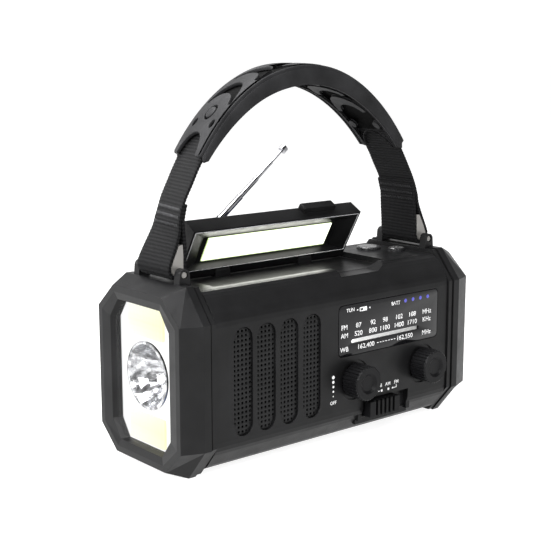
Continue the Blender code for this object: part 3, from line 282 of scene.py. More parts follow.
def moulded(name, dark, light, roughness, grain=0.22, depth=0.03, specular=0.5):
    """Moulded plastic or rubber: fine spark-eroded grain, faint cloudiness and uneven gloss."""
    make = Shader(name)
    place = make.place()
    cloud = make.noise(place, 14.0, 3.0)
    grain_height = make.noise(place, grain, 1.0)
    colour = make.blend(make.spread(cloud, 0.0, 1.0), dark, light)
    gloss = make.spread(make.noise(place, 5.0, 4.0), roughness - 0.05, roughness + 0.06)
    return make.finish(Base_Color=colour, Roughness=gloss, Specular_IOR_Level=specular,
                       Normal=make.bump(grain_height, depth, 0.6))


def case_plastic():
    return moulded("case_plastic_fine_grain", (0.0040, 0.0040, 0.0042), (0.0072, 0.0072, 0.0076), 0.34,
                   specular=0.15)


def grip_rubber():
    return moulded("grip_rubber_mottled", (0.008, 0.008, 0.0085), (0.018, 0.018, 0.019), 0.62,
                   0.5, 0.05, 0.11)


def knob_plastic():
    return moulded("knob_plastic", (0.0025, 0.0025, 0.0028), (0.0045, 0.0045, 0.0050), 0.40,
                   0.3, 0.02, 0.12)


# Near-black for the speaker cloth, and for the filling that paints the shade seen through the grip's
# cut-outs.
def black_cloth_and_shade_filler():
    return moulded("black_cloth_and_painted_shade", (0.001, 0.001, 0.001), (0.002, 0.002, 0.002), 0.8, 0.6, 0.08, 0.04)


def webbing():
    """Ribbed nylon webbing: U runs along the strap and V across."""
    make = Shader("webbing_ribbed_nylon")
    place = make.place("UV")
    along = make.axis(place, "X")
    across = make.axis(place, "Y")
    rib = make.maths("SINE", make.maths("MULTIPLY", along, 2 * math.pi * UV_UNIT / RIB_PITCH))
    yarn = make.maths("SINE", make.maths("MULTIPLY", across, 2 * math.pi * UV_UNIT / YARN_PITCH))
    weave = make.maths("MULTIPLY_ADD", yarn, 0.35, make.maths("MULTIPLY", rib, 0.65))
    fuzz = make.noise(make.place(), 0.25, 2.0)
    height = make.maths("MULTIPLY_ADD", fuzz, 0.6, weave)
    # Painted shade: the colour follows the weave's height, darker in its grooves and lighter on its crests,
    # with random fuzz mixed in.
    shade = make.spread(make.maths("MULTIPLY_ADD", fuzz, 0.8, weave), 0.0, 1.0, (-0.6, 1.5))
    colour = make.blend(shade, (0.0002, 0.0002, 0.0003), (0.0100, 0.0100, 0.0106))
    return make.finish(Base_Color=colour, Roughness=0.75, Specular_IOR_Level=0.06,
                       Sheen_Weight=0.02, Sheen_Roughness=0.4, Normal=make.bump(height, 0.12))


def thread():
    return moulded("stitching_thread", (0.014, 0.014, 0.015), (0.030, 0.030, 0.032), 0.5, 0.2, 0.03, 0.2)


def hanger_paint():
    """Satin paint over metal, worn a little brighter in patches."""
    make = Shader("strap_hanger_paint")
    place = make.place()
    cloud = make.noise(place, 7.0, 3.0)
    colour = make.blend(cloud, (0.15, 0.145, 0.137), (0.24, 0.232, 0.22))
    return make.finish(Base_Color=colour, Metallic=0.5, Roughness=make.spread(cloud, 0.28, 0.4),
                       Normal=make.bump(make.noise(place, 0.3), 0.01, 0.4))


def chrome():
    make = Shader("antenna_bright_chrome")
    place = make.place()
    smear = make.noise(place, 6.0, 3.0)
    colour = make.blend(smear, (0.20, 0.20, 0.21), (0.36, 0.36, 0.375))
    return make.finish(Base_Color=colour, Metallic=1.0, Roughness=make.spread(smear, 0.06, 0.16),
                       Normal=make.bump(make.noise(place, 0.4), 0.01, 0.3))


def plated_steel(name="zinc_plated_steel", tint=(0.52, 0.52, 0.54), roughness=0.3):
    make = Shader(name)
    place = make.place(scale=(1.0, 1.0, 6.0))
    lines = make.noise(place, 0.8, 4.0)
    pale = tuple(min(1.0, c * 1.3) for c in tint)
    return make.finish(Base_Color=make.blend(lines, tint, pale), Metallic=1.0,
                       Roughness=make.spread(lines, roughness - 0.08, roughness + 0.1),
                       Normal=make.bump(lines, 0.02, 0.4))


def dial_gloss():
    """Smoked acrylic with a hard coat, faint dust and a slow wave in its gloss."""
    make = Shader("dial_window_smoked")
    place = make.place()
    dust = make.noise(place, 2.0, 3.0)
    flow = make.noise(place, 30.0, 1.0)
    return make.finish(Base_Color=make.blend(dust, (0.0030, 0.0030, 0.0036), (0.0055, 0.0055, 0.0062)),
                       Roughness=make.spread(dust, 0.05, 0.12), Specular_IOR_Level=0.28,
                       Normal=make.bump(flow, 0.02, 0.4))


def printed_white():
    make = Shader("printed_white_ink")
    wear = make.noise(make.place(), 0.5, 3.0)
    return make.finish(Base_Color=make.blend(wear, (0.62, 0.62, 0.62), (0.86, 0.86, 0.86)), Roughness=0.5)


def glowing(name, centre, edge, strength, middle=None, reach=1.0, base=(0.8, 0.8, 0.78)):
    """Plastic that glows, for lamps and for parts whose glow is painted light; with a middle (mm) the
    colour falls from centre to edge over reach (mm).
    """
    make = Shader(name)
    place = make.place()
    grain = make.noise(place, 0.7, 2.0)
    share = make.spread(grain, 0.0, 0.12)
    if middle:
        here = tuple(c * MM for c in middle)
        gap = make.node("ShaderNodeVectorMath", {0: place, 1: here}, operation="DISTANCE").outputs["Value"]
        share = make.maths("ADD", share, make.spread(gap, 0.0, 1.0, (0.0, reach * MM)))
    colour = make.blend(share, centre, edge)
    return make.finish(Base_Color=base, Roughness=0.35, Emission_Color=colour,
                       Emission_Strength=strength, Normal=make.bump(grain, 0.02, 0.3))


def led_panel():
    """Chip-on-board panel: phosphor gel over a fine grid of lit chips, paler towards the rear."""
    make = Shader("cob_panel_lit")
    place = make.place("Generated")
    y = make.axis(place, "Y")
    z = make.axis(place, "Z")
    waves = [make.maths("COSINE", make.maths("MULTIPLY", axis, 2 * math.pi * count))
             for axis, count in ((y, COB_COLUMNS), (z, COB_ROWS))]
    chips = make.spread(make.maths("ADD", *waves), 0.0, 1.0, (-1.2, 1.8))
    off_middle = make.maths("ABSOLUTE", make.maths("SUBTRACT", z, 0.5))
    fade = make.spread(make.maths("ADD", y, off_middle), 0.0, 0.9, (0.1, 1.3))
    share = make.maths("MULTIPLY_ADD", chips, -0.12, make.maths("ADD", fade, 0.06))
    colour = make.blend(share, (1.0, 0.98, 0.58), (1.0, 1.0, 0.90))
    return make.finish(Base_Color=(0.12, 0.11, 0.03), Roughness=0.35, Emission_Color=colour,
                       Emission_Strength=1.08, Normal=make.bump(chips, 0.05, 0.4))


def lamp_diffuser():
    """Reading lamp's frosted strip, bright in the middle with a tinted border."""
    make = Shader("lamp_lens_lit")
    place = make.place("Generated")
    along, across = (make.maths("ABSOLUTE", make.maths("SUBTRACT", make.axis(place, name), 0.5))
                     for name in "XZ")
    ends = make.spread(along, 0.0, 1.0, (0.475, 0.5))
    sides = make.spread(across, 0.0, 1.0, (0.36, 0.48))
    border = make.maths("MAXIMUM", ends, sides)
    colour = make.blend(border, (1.0, 1.0, 0.93), (0.10, 0.13, 0.055))
    grain = make.noise(place, 300.0, 2.0)
    return make.finish(Base_Color=(0.5, 0.5, 0.46), Roughness=0.35, Emission_Color=colour,
                       Emission_Strength=LAMP_GLOW, Normal=make.bump(grain, 0.02, 0.3))


def clear_window():
    make = Shader("torch_window_clear")
    dust = make.noise(make.place(), 3.0, 3.0)
    return make.finish(Base_Color=(0.02, 0.02, 0.02), Roughness=make.spread(dust, 0.02, 0.06), Alpha=0.08,
                       Specular_IOR_Level=0.5)


def mirror_facets(centre_z):
    """Metallised plastic with painted reflection streaks, light and dark, that run from the lamp out to the
    rim.
    """
    make = Shader("reflector_painted_streaks")
    place = make.place()
    rise = make.maths("SUBTRACT", make.axis(place, "Z"), centre_z * MM)
    turn = make.maths("ARCTAN2", rise, make.axis(place, "Y"))
    depth = make.maths("MULTIPLY", make.axis(place, "X"), REFLECTION_STREAK_BREAK)
    ray = make.node("ShaderNodeCombineXYZ", {"X": turn, "Y": depth}).outputs[0]
    reflection_streak = make.node("ShaderNodeTexNoise", {"Vector": ray, "Scale": 4.0, "Detail": 3.0}).outputs["Fac"]
    # Painted reflection: the colour runs from dark to bright along the streaks.
    tone = make.spread(reflection_streak, 0.0, 1.0, (0.38, 0.62))
    return make.finish(Base_Color=make.blend(tone, (0.22, 0.22, 0.23), (0.86, 0.87, 0.89)), Metallic=1.0,
                       Roughness=make.spread(reflection_streak, 0.14, 0.24))


def circuit_board():
    make = Shader("circuit_board_mask")
    place = make.place()
    tracks = make.node("ShaderNodeTexBrick", {"Vector": place, "Scale": 260.0, "Mortar Size": 0.03,
                                              "Color1": (0.015, 0.12, 0.05), "Color2": (0.02, 0.15, 0.06),
                                              "Mortar": (0.05, 0.26, 0.10)}).outputs["Color"]
    return make.finish(Base_Color=tracks, Roughness=0.4, Normal=make.bump(make.noise(place, 0.6), 0.02))


def solar_gloss():
    make = Shader("solar_cell_laminate")
    crystal = make.node("ShaderNodeTexVoronoi", {"Vector": make.place(), "Scale": 260.0}).outputs["Color"]
    tone = make.axis(crystal, "X")
    return make.finish(Base_Color=make.blend(tone, (0.006, 0.010, 0.035), (0.012, 0.022, 0.075)),
                       Roughness=0.12, Coat_Weight=0.6, Coat_Roughness=0.05)


def nylon():
    return moulded("gear_natural_nylon", (0.62, 0.60, 0.55), (0.74, 0.72, 0.67), 0.45)


def bronze():
    return plated_steel("sintered_bronze", (0.42, 0.28, 0.13), 0.42)


def battery_sleeve():
    return moulded("battery_shrink_sleeve", (0.02, 0.07, 0.25), (0.03, 0.10, 0.34), 0.3)


def floor_paper():
    """White acrylic shooting table, lit evenly from below."""
    make = Shader("shooting_table_acrylic")
    tone = make.noise(make.place(), 300.0, 2.0)
    return make.finish(Base_Color=make.blend(tone, (0.24, 0.24, 0.24), (0.26, 0.26, 0.26)), Roughness=0.9,
                       Specular_IOR_Level=0.1, Emission_Color=(1.0, 1.0, 1.0), Emission_Strength=TABLE_GLOW)


# ---------------- mesh helpers
def piece(name, bm, mat, body, smooth=35):
    """Turn millimetre geometry into a named piece that rides on a body."""
    bmesh.ops.recalc_face_normals(bm, faces=bm.faces)
    bmesh.ops.scale(bm, verts=bm.verts, vec=(MM, MM, MM))
    mesh = bpy.data.meshes.new(name)
    bm.to_mesh(mesh)
    bm.free()
    mesh.materials.append(mat)
    mesh.shade_smooth()
    mesh.set_sharp_from_angle(angle=math.radians(smooth))
    item = bpy.data.objects.new(name, mesh)
    bpy.context.scene.collection.objects.link(item)
    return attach(item, body)


def curve_geometry(curve):
    """A curve's own surface as editable geometry; the curve itself is removed."""
    item = bpy.data.objects.new(curve.name, curve)
    bpy.context.scene.collection.objects.link(item)
    mesh = bpy.data.meshes.new_from_object(item.evaluated_get(bpy.context.evaluated_depsgraph_get()))
    bm = bmesh.new()
    bm.from_mesh(mesh)
    bpy.data.objects.remove(item)
    bpy.data.curves.remove(curve)
    bpy.data.meshes.remove(mesh)
    return bm


def add_spline(curve, points, closed=False):
    spline = curve.splines.new("POLY")
    spline.points.add(len(points) - 1)
    spline.points.foreach_set("co", [c for point in points for c in (*point, 1.0)])
    spline.use_cyclic_u = closed


def cut_sheet(loops, thickness, bevel=0.0):
    """Flat sheet in its own x, y with holes and softened edges; z runs from 0 down by its thickness."""
    curve = bpy.data.curves.new("cut_sheet", "CURVE")
    curve.dimensions = "2D"
    curve.fill_mode = "BOTH"
    curve.extrude = thickness / 2 - bevel
    curve.bevel_depth = bevel
    curve.bevel_resolution = 1
    curve.offset = -bevel
    for loop in loops:
        add_spline(curve, [(x, y, 0.0) for x, y in loop], closed=True)
    bm = curve_geometry(curve)
    bmesh.ops.remove_doubles(bm, verts=bm.verts, dist=1e-4)
    bmesh.ops.translate(bm, verts=bm.verts, vec=(0.0, 0.0, -thickness / 2))
    return bm


def stand_up(bm, front_y):
    """Stand a flat sheet on the panel: its x, y become x, z and its face looks at -Y."""
    for vert in bm.verts:
        x, y, z = vert.co
        vert.co = (x, front_y - z, y)
    return bm


def ellipse(x, y, rx, ry, steps, start=0.0, end=2 * math.pi):
    """Points round an ellipse, or along a part of it with both of its ends."""
    full = abs(end - start - 2 * math.pi) < 1e-6
    count = steps if full else steps + 1
    return [(x + rx * math.cos(a), y + ry * math.sin(a))
            for a in [start + (end - start) * i / steps for i in range(count)]]


def dot(x, y, radius, steps):
    return ellipse(x, y, radius, radius, steps)


def rounded_box(x0, x1, y0, y1, radius, steps=4):
    loop = []
    for x, y, start in ((x1 - radius, y1 - radius, 0.0), (x0 + radius, y1 - radius, 0.5),
                        (x0 + radius, y0 + radius, 1.0), (x1 - radius, y0 + radius, 1.5)):
        loop += ellipse(x, y, radius, radius, steps, start * math.pi, (start + 0.5) * math.pi)
    return loop


def bezier(p0, p1, p2, p3, steps):
    points = []
    for i in range(steps + 1):
        t = i / steps
        u = 1 - t
        weights = (u ** 3, 3 * u * u * t, 3 * u * t * t, t ** 3)
        points.append(tuple(sum(w * p[k] for w, p in zip(weights, (p0, p1, p2, p3))) for k in (0, 1)))
    return points


def ease(value, start, end):
    """0 before start, 1 after end and a smooth rise between them."""
    share = min(1.0, max(0.0, (value - start) / (end - start)))
    return share * share * (3 - 2 * share)


class Route:
    """The strap's middle line in the XZ plane, addressed by the distance along it."""

    def __init__(self, points):
        self.points = [Vector(p) for p in points]
        self.reach = [0.0]
        for a, b in zip(self.points, self.points[1:]):
            self.reach.append(self.reach[-1] + (b - a).length)
        self.length = self.reach[-1]

    def at(self, s):
        """The point and the unit vector to its left (the outer side of the arch) at distance s."""
        s = min(max(s, 0.0), self.length)
        i = bisect.bisect_right(self.reach, s, 0, len(self.reach) - 1) - 1
        span = self.reach[i + 1] - self.reach[i]
        t = (s - self.reach[i]) / span
        point = self.points[i].lerp(self.points[i + 1], t)
        run = self.heading(i).lerp(self.heading(i + 1), t).normalized()
        return point, Vector((-run.y, run.x))

    def heading(self, i):
        last = len(self.points) - 1
        return (self.points[min(i + 1, last)] - self.points[max(i - 1, 0)]).normalized()

    def place(self, s, across, out):
        """World point (mm) at distance s, across the strap and out from its middle, with its twist."""
        point, normal = self.at(s)
        x, z = point + normal * out
        return Vector((x + TWIST * ease(z, *TWIST_Z) * ease(-x, *TWIST_X) * across, across, z))

    def crossing(self, z, first, last, steps=400):
        """Distance at which the line passes height z, looked for between two distances."""
        places = [first + (last - first) * i / steps for i in range(steps + 1)]
        return min(places, key=lambda s: abs(self.at(s)[0].y - z))


def loft_rings(rings):
    """A closed skin through rings of as many points each."""
    bm = bmesh.new()
    rows = [[bm.verts.new(point) for point in ring] for ring in rings]
    for a, b in zip(rows, rows[1:]):
        for i in range(len(a)):
            j = (i + 1) % len(a)
            bm.faces.new((a[i], a[j], b[j], b[i]))
    bm.faces.new(rows[0])
    bm.faces.new(rows[-1])
    return bm


def bend_onto(bm, route, start, out, crown=0.0, slice_length=2.5):
    """Wrap a flat sheet (x along, y across, z out) on the route, beginning at distance start."""
    xs = [v.co.x for v in bm.verts]
    low, high = min(xs), max(xs)
    slices = int((high - low) / slice_length)
    for i in range(1, slices):
        x = low + (high - low) * i / slices
        geometry = bm.verts[:] + bm.edges[:] + bm.faces[:]
        bmesh.ops.bisect_plane(bm, geom=geometry, plane_co=(x, 0, 0), plane_no=(1, 0, 0), dist=1e-5)
    for vert in bm.verts:
        along, across, up = vert.co
        drop = crown * (across / GRIP_HALF) ** 4
        vert.co = route.place(start + along, across, out(start + along) + up - drop)
    return bm


# ---------------- handle
def arch_route():
    """The plain arch that the grip's plates are bent onto."""
    return Route(bezier(*ARCH_LEFT, 60) + bezier(*ARCH_RIGHT, 60)[1:])


def strap_side(side):
    """One end of the strap from its tucked-in tail, round the hanger and up to the arch's foot."""
    turn = math.pi + LOOP_START
    steps = 18
    arc = [(LOOP_X - LOOP_R * math.cos(turn * k / steps), LOOP_Z - LOOP_R * math.sin(turn * k / steps))
           for k in range(steps + 1)]
    down = bezier(*STRAP_DOWN, arc[0], 10)
    up = bezier(arc[-1], *STRAP_UP, 16)
    return [(side * x, z) for x, z in (*STRAP_TAIL, *down, *arc[1:-1], *up)]


def strap_route():
    """The whole strap, left end to right end; the arch stands off its curve near its feet."""
    arch = bezier(*ARCH_LEFT, 40) + bezier(*ARCH_RIGHT, 40)[1:]
    top = []
    for i, (x, z) in enumerate(arch):
        if z < ARCH_FOOT_Z:
            continue
        ahead = arch[min(i + 1, len(arch) - 1)]
        back = arch[max(i - 1, 0)]
        run = Vector((ahead[0] - back[0], ahead[1] - back[1])).normalized()
        out = FLARE_OUT * ease(FLARE_FROM_Z - z, 0.0, FLARE_FROM_Z - FLARE_TO_Z)
        top.append((x - run.y * out, z + run.x * out))
    return Route(strap_side(-1) + top + list(reversed(strap_side(1))))


def web_profile():
    """The strap's cross-section: across in millimetres, and up in thicknesses."""
    edge = [(inward - WEB_HALF, up) for inward, up in WEB_EDGE]
    inside = [(WEB_HALF * k / 4, 0.5) for k in range(-3, 4)]
    upper = edge + inside + [(-y, up) for y, up in reversed(edge[1:])]
    return upper + [(-y, -up) for y, up in upper]


def build_strap():
    """Ribbed webbing swept along the whole strap."""
    route = strap_route()
    profile = web_profile()
    count = int(route.length / (RIB_PITCH / 5))
    rings = []
    for i in range(count + 1):
        s = route.length * i / count
        rib = RIB_HEIGHT * abs(math.sin(math.pi * s / RIB_PITCH))
        drift = DRIFT[0] * math.sin(s / DRIFT[1])
        swell = 1 + SWELL[0] * math.sin(s / SWELL[1])
        ring = []
        for y, up in profile:
            lift = math.copysign(rib, up) if up else 0.0
            ring.append(route.place(s, y * swell + drift, up * WEB_T + lift))
        rings.append(ring)
    bm = loft_rings(rings)
    layer = bm.loops.layers.uv.new("UVMap")
    width = len(profile)
    bm.verts.index_update()
    for face in bm.faces:
        for loop in face.loops:
            row, column = divmod(loop.vert.index, width)
            loop[layer].uv = (route.length * row / count / UV_UNIT, profile[column][0] / UV_UNIT)
    strap = piece("handle_webbing_ribbed", bm, webbing(), "root", 60)
    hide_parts("handle_webbing")
    build_stitching(route)


def build_stitching(route):
    """Zigzag seams across each end of the strap, on both faces, where its tail is sewn down."""
    curve = bpy.data.curves.new("stitches", "CURVE")
    curve.dimensions = "3D"
    curve.bevel_depth = STITCH_RADIUS
    curve.bevel_resolution = 1
    out = WEB_T / 2 + STITCH_RADIUS - 0.01
    end = route.length
    tail, outside = STITCH_REACH
    for first, last in ((0.0, tail), (outside, end / 2), (end / 2, end - outside), (end - tail, end)):
        for z in STITCH_Z:
            s = route.crossing(z, first, last)
            points = []
            for k in range(STITCH_COUNT):
                y = STITCH_STEP * (k - (STITCH_COUNT - 1) / 2)
                along, up = (STITCH_STEP, 0.1) if k % 2 else (-STITCH_STEP, -0.06)
                points.append(route.place(s + along, y, out + up))
            add_spline(curve, points)
    piece("strap_stitching", curve_geometry(curve), thread(), "root", 80)


def crescent(centre, half):
    """Outline between two arcs that bulge away from the plate's end."""
    def arc(x, length, inset, turn, steps):
        return ellipse(x, 0.0, length, half - inset, steps, -turn, turn)

    outer = arc(centre, *CRESCENT_OUTER, 24)
    inner = arc(centre + CRESCENT_SHIFT, *CRESCENT_INNER, 18)
    return outer + list(reversed(inner))


def grip_pattern(length, half, with_boss):
    """Outline and cut-outs of a grip plate, x from one end to the other and y across."""
    centre, notch_length, notch_side = NOTCH
    arc = ellipse(centre, 0.0, notch_length, notch_side, 16, -math.pi / 2, math.pi / 2)
    notch = [(x, y) for x, y in arc if x > NOTCH_FROM_X]
    shoulder = half - 0.35 * (half - notch_side - 0.2)
    corner = [(1.2, half - 0.2), (0.2, shoulder), (0.3, notch_side)]
    start = [(x, -y) for x, y in corner] + notch + list(reversed(corner))
    outline = start + [(length - x, y) for x, y in reversed(start)]

    eye_x, eye_side, *eye_radii = EYE
    cuts = [ellipse(eye_x, side * eye_side, *eye_radii, 14) for side in (-1, 1)]
    if with_boss:
        cuts.append(ellipse(BOSS_AT, 0.0, *BOSS_HOLE, 20))
    cuts += [crescent(x, half) for x in CRESCENT_X]
    cuts += [[(x, side * y) for x, y in WEDGE] for side in (-1, 1)]
    return [outline] + cuts + [[(length - x, y) for x, y in cut] for cut in cuts]


def build_grip():
    """Cut-out plates above and below the webbing, side bands, black filling that paints the shade in the
    cut-outs, and two round buttons.
    """
    route = arch_route()
    middle = route.length / 2
    start = route.crossing(GRIP_FOOT_Z, 0.0, middle)
    end = route.crossing(GRIP_FOOT_Z, middle, route.length)
    length = end - start
    rubber = grip_rubber()

    def depth(s):
        return GRIP_DEPTH[0] + GRIP_DEPTH[1] * math.sin(math.pi * min(max((s - start) / length, 0.0), 1.0))

    sheet = cut_sheet(grip_pattern(length, GRIP_HALF, True), GRIP_TOP[1] - GRIP_TOP[0], 0.35)
    bend_onto(sheet, route, start, lambda s: GRIP_TOP[1], GRIP_CROWN)
    top = piece("grip_top_cutwork", sheet, rubber, "root", 50)
    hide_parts("grip_top")

    sheet = cut_sheet(grip_pattern(length, GRIP_UNDER_HALF, False), GRIP_UNDER_THICKNESS, 0.3)
    bend_onto(sheet, route, start, lambda s: GRIP_UNDER_THICKNESS + 0.15 - depth(s))
    under = piece("grip_under_cutwork", sheet, rubber, "root", 50)
    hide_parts("grip_base")

    build_rails(route, start, length, depth, rubber)
    # Painted shade: black filling under the cut-outs of both plates.
    build_shade_filler("grip_shade_filler_under", route, start + 9.0, end - 9.0, lambda s: 2.4 - depth(s),
                lambda s: max(-0.9, 2.5 - depth(s)))
    build_shade_filler("grip_shade_filler_top", route, start + 11.8, end - 11.8, lambda s: 0.95, lambda s: 1.3)
    for name, s in (("grip_boss_left", start + BOSS_AT), ("grip_boss_right", end - BOSS_AT)):
        build_boss(name, route, s, rubber)


def rail_section(low, high, half):
    """Cross-section of a side band, flat inside and softly bulged outside; half is half its height."""
    outer, chamfer = GRIP_HALF, 0.2
    middle = (low + high) / 2
    lower = [(RAIL_INNER, chamfer - half), (RAIL_INNER + chamfer, -half), (outer - RAIL_SOFT, -half),
             (outer - 0.12, 0.13 - half), (outer + 0.02, RAIL_SOFT - half), (outer + 0.22, -half * 0.4)]
    return ([(y, middle + up) for y, up in lower] + [(outer + 0.26, middle)]
            + [(y, middle - up) for y, up in reversed(lower)])


def build_rails(route, start, length, depth, mat):
    """The smooth side bands of the grip, thickest at the crown and tapered to the ends."""
    steps = 80
    reach = length + 2 * RAIL_OVERHANG
    for name, side in (("grip_rail_front", -1), ("grip_rail_rear", 1)):
        rings = []
        for i in range(steps + 1):
            share = i / steps
            s = start - RAIL_OVERHANG + reach * share
            low, high = -depth(s), GRIP_RAIL_TOP
            to_end = min(share, 1 - share) * reach
            squeeze = min(1.0, math.sqrt(to_end / 2.2) + 0.12)
            section = rail_section(low, high, (high - low) / 2 * squeeze)
            rings.append([route.place(s, side * y, up) for y, up in section])
        piece(name, loft_rings(rings), mat, "root", 60)


def build_shade_filler(name, route, first, last, low, high):
    """Black filling that paints the shade seen through a plate's cut-outs, between two heights off the
    strap's middle.
    """
    rings = []
    steps = 60
    for i in range(steps + 1):
        s = first + (last - first) * i / steps
        section = ((-SHADE_FILLER_HALF, low(s)), (SHADE_FILLER_HALF, low(s)),
                   (SHADE_FILLER_HALF, high(s)), (-SHADE_FILLER_HALF, high(s)))
        rings.append([route.place(s, y, up) for y, up in section])
    piece(name, loft_rings(rings), black_cloth_and_shade_filler(), "root")


def build_boss(name, route, s, mat):
    """A raised round button on the grip's middle line."""
    rings = [[route.place(s + x, y, out) for x, y in dot(0.0, 0.0, radius, 24)]
             for radius, out in BOSS_STEPS]
    piece(name, loft_rings(rings), mat, "root", 40)


# ---------------- panel
def build_grilles():
    """Perforated sheets in the four slots, with the holes that fit inside each slot's outline."""
    width, height = GRILLE_SIZE
    radius = width / 2 - GRILLE_CLEARANCE
    rise = height / 2 - width / 2
    columns, rows = 2, 11
    loops = []
    for x in GRILLE_X:
        upper = ellipse(x, GRILLE_Z + rise, radius, radius, 16, 0.0, math.pi)
        loops.append(upper + [(2 * x - a, 2 * GRILLE_Z - b) for a, b in upper])
        for i in range(-columns, columns + 1):
            for j in range(-rows, rows):
                a = x + i * HOLE_PITCH
                b = GRILLE_Z + (j + 0.5) * HOLE_PITCH
                over = max(0.0, abs(b - GRILLE_Z) - rise)
                if math.hypot(a - x, over) < radius - HOLE_MARGIN:
                    loops.append(rounded_box(a - HOLE_HALF, a + HOLE_HALF,
                                             b - HOLE_HALF, b + HOLE_HALF, 0.3, 2))
    sheet = stand_up(cut_sheet(loops, GRILLE_THICKNESS, 0.07), PANEL_Y + GRILLE_DEPTH)
    grilles = piece("grille_perforated", sheet, case_plastic(), "root", 30)


def letters(text, centre, bottom, height, squeeze=1.0):
    """Outline text of one height, centred on x, as a flat mesh in x, y."""
    curve = bpy.data.curves.new("letters", "FONT")
    curve.body = text
    curve.extrude = 0.01
    curve.offset = LETTER_WEIGHT
    bm = curve_geometry(curve)
    xs = [v.co.x for v in bm.verts]
    ys = [v.co.y for v in bm.verts]
    middle, foot = (min(xs) + max(xs)) / 2, min(ys)
    size = height / (max(ys) - foot)
    for vert in bm.verts:
        x, y, z = vert.co
        vert.co = (centre + (x - middle) * size * squeeze, bottom + (y - foot) * size, z)
    return bm


def gather(parts):
    """One mesh from several, which are used up."""
    result = bmesh.new()
    for part in parts:
        mesh = bpy.data.meshes.new("part")
        part.to_mesh(mesh)
        part.free()
        result.from_mesh(mesh)
        bpy.data.meshes.remove(mesh)
    return result


def printed(name, sheets, face, mat):
    """Flat shapes printed on the panel, with their face at the given Y."""
    print_mesh = gather([stand_up(sheet, face) for sheet in sheets])
    piece(name, print_mesh, mat, "root")


def build_dial():
    """Smoked window with its slot, the bar behind the slot with a painted glow that is brightest at its
    left end, and all that is printed on the window.
    """
    low, high = (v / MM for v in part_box("dial_window"))
    left, right, z = DIAL_BAR
    outline = rounded_box(low.x, high.x, low.z, high.z, 2.3)
    slot = rounded_box(left, right, z - 0.85, z + 0.85, 0.8)
    window = piece("dial_window_printed", stand_up(cut_sheet([outline, slot], 0.9, 0.12), low.y - 0.06),
                   dial_gloss(), "root", 30)
    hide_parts("dial_window")

    # Painted light: the bar is no lamp; its glow stands in for light, and it is brightest at its left end
    # as a painted highlight.
    bar = cut_sheet([rounded_box(left - 1, right + 1, z - 1.6, z + 1.6, 0.5)], 0.15)
    lit = glowing("scale_bar_painted_glow", (0.75, 0.75, 0.75), (0.22, 0.22, 0.22), 1.0,
                  (left, PANEL_Y, z), right - left)
    piece("dial_scale_bar", stand_up(bar, PANEL_Y + 2.3), lit, "root")

    face = low.y - 0.07
    level = DIAL_TOP_Z + 0.35
    printed("dial_lettering", dial_letters() + dial_shapes(level), face, printed_white())
    blue = glowing("battery_level_blue", (0.16, 0.16, 1.0), (0.10, 0.10, 0.8), 0.45,
                   base=(0.02, 0.02, 0.12))
    dots = [cut_sheet([dot(LEVEL_DOT_X + LEVEL_DOT_PITCH * k, level, 0.85, 18)], 0.06, 0.02)
            for k in range(4)]
    printed("battery_level_dots", dots, face - 0.03, blue)


def dial_letters():
    """Every word and number on the dial, row by row."""
    words = [("TUN", 5.4, DIAL_TOP_Z, SMALL_LETTER_HEIGHT),
             ("BATT", 33.1, DIAL_TOP_Z - 0.7, SMALL_LETTER_HEIGHT)]
    for foot, name, numbers, unit in DIAL_ROWS:
        words += [(name, NAME_X, foot, LETTER_HEIGHT), (unit, UNIT_X, foot, LETTER_HEIGHT)]
        words += [(text, x, foot, LETTER_HEIGHT, DIGIT_SQUEEZE) for text, x in zip(numbers, NUMBER_X)]
    words += [("WB", NAME_X, WEATHER_Z, LETTER_HEIGHT), ("MHz", UNIT_X, WEATHER_Z, LETTER_HEIGHT)]
    words += [(text, x, WEATHER_Z, LETTER_HEIGHT, DIGIT_SQUEEZE) for text, x in WEATHER_NUMBERS]
    return [letters(*word) for word in words]


def dial_shapes(level):
    """The dashes of the weather row and, at the given level, the cell with a dot to either side."""
    dash_z = WEATHER_Z + LETTER_HEIGHT / 2
    shapes = [dot(x, level, 0.35, 10) for x in CELL_ICON_DOTS_X]
    for k in range(7):
        x = DASH_X + DASH_PITCH * k
        shapes.append(rounded_box(x, x + DASH_LENGTH, dash_z - 0.15, dash_z + 0.15, 0.12, 2))
    cell = [rounded_box(*CELL_ICON_X, level - 0.9, level + 0.9, 0.3, 2),
            rounded_box(*CELL_CHARGE_X, level - 0.5, level + 0.5, 0.15, 2)]
    return [cut_sheet([shape], INK) for shape in shapes] + [cut_sheet(cell, INK)]


def build_panel_print():
    """Marks beside the volume knob and over the band switch."""
    sheets = [letters("OFF", *OFF_MARK)]
    sheets += [letters(text, x, BAND_MARK_Z, SMALL_LETTER_HEIGHT) for text, x in BAND_MARKS]
    x, z = VOLUME_DOTS
    shapes = [dot(x, z - VOLUME_DOT_PITCH * k, 0.78 - 0.12 * k, 16) for k in range(5)]
    shapes += [dot(x, BAND_DOT_Z, 0.6, 14) for x in BAND_DOTS_X]
    left, right = BAND_LINE
    low, high = BAND_DOT_Z - 0.15, BAND_DOT_Z + 0.15
    shapes += [[(left, low), (right, low), (right, high), (left, high)], BAND_HOOK]
    sheets += [cut_sheet([shape], INK) for shape in shapes]
    printed("panel_lettering", sheets, PANEL_Y - 0.02, printed_white())


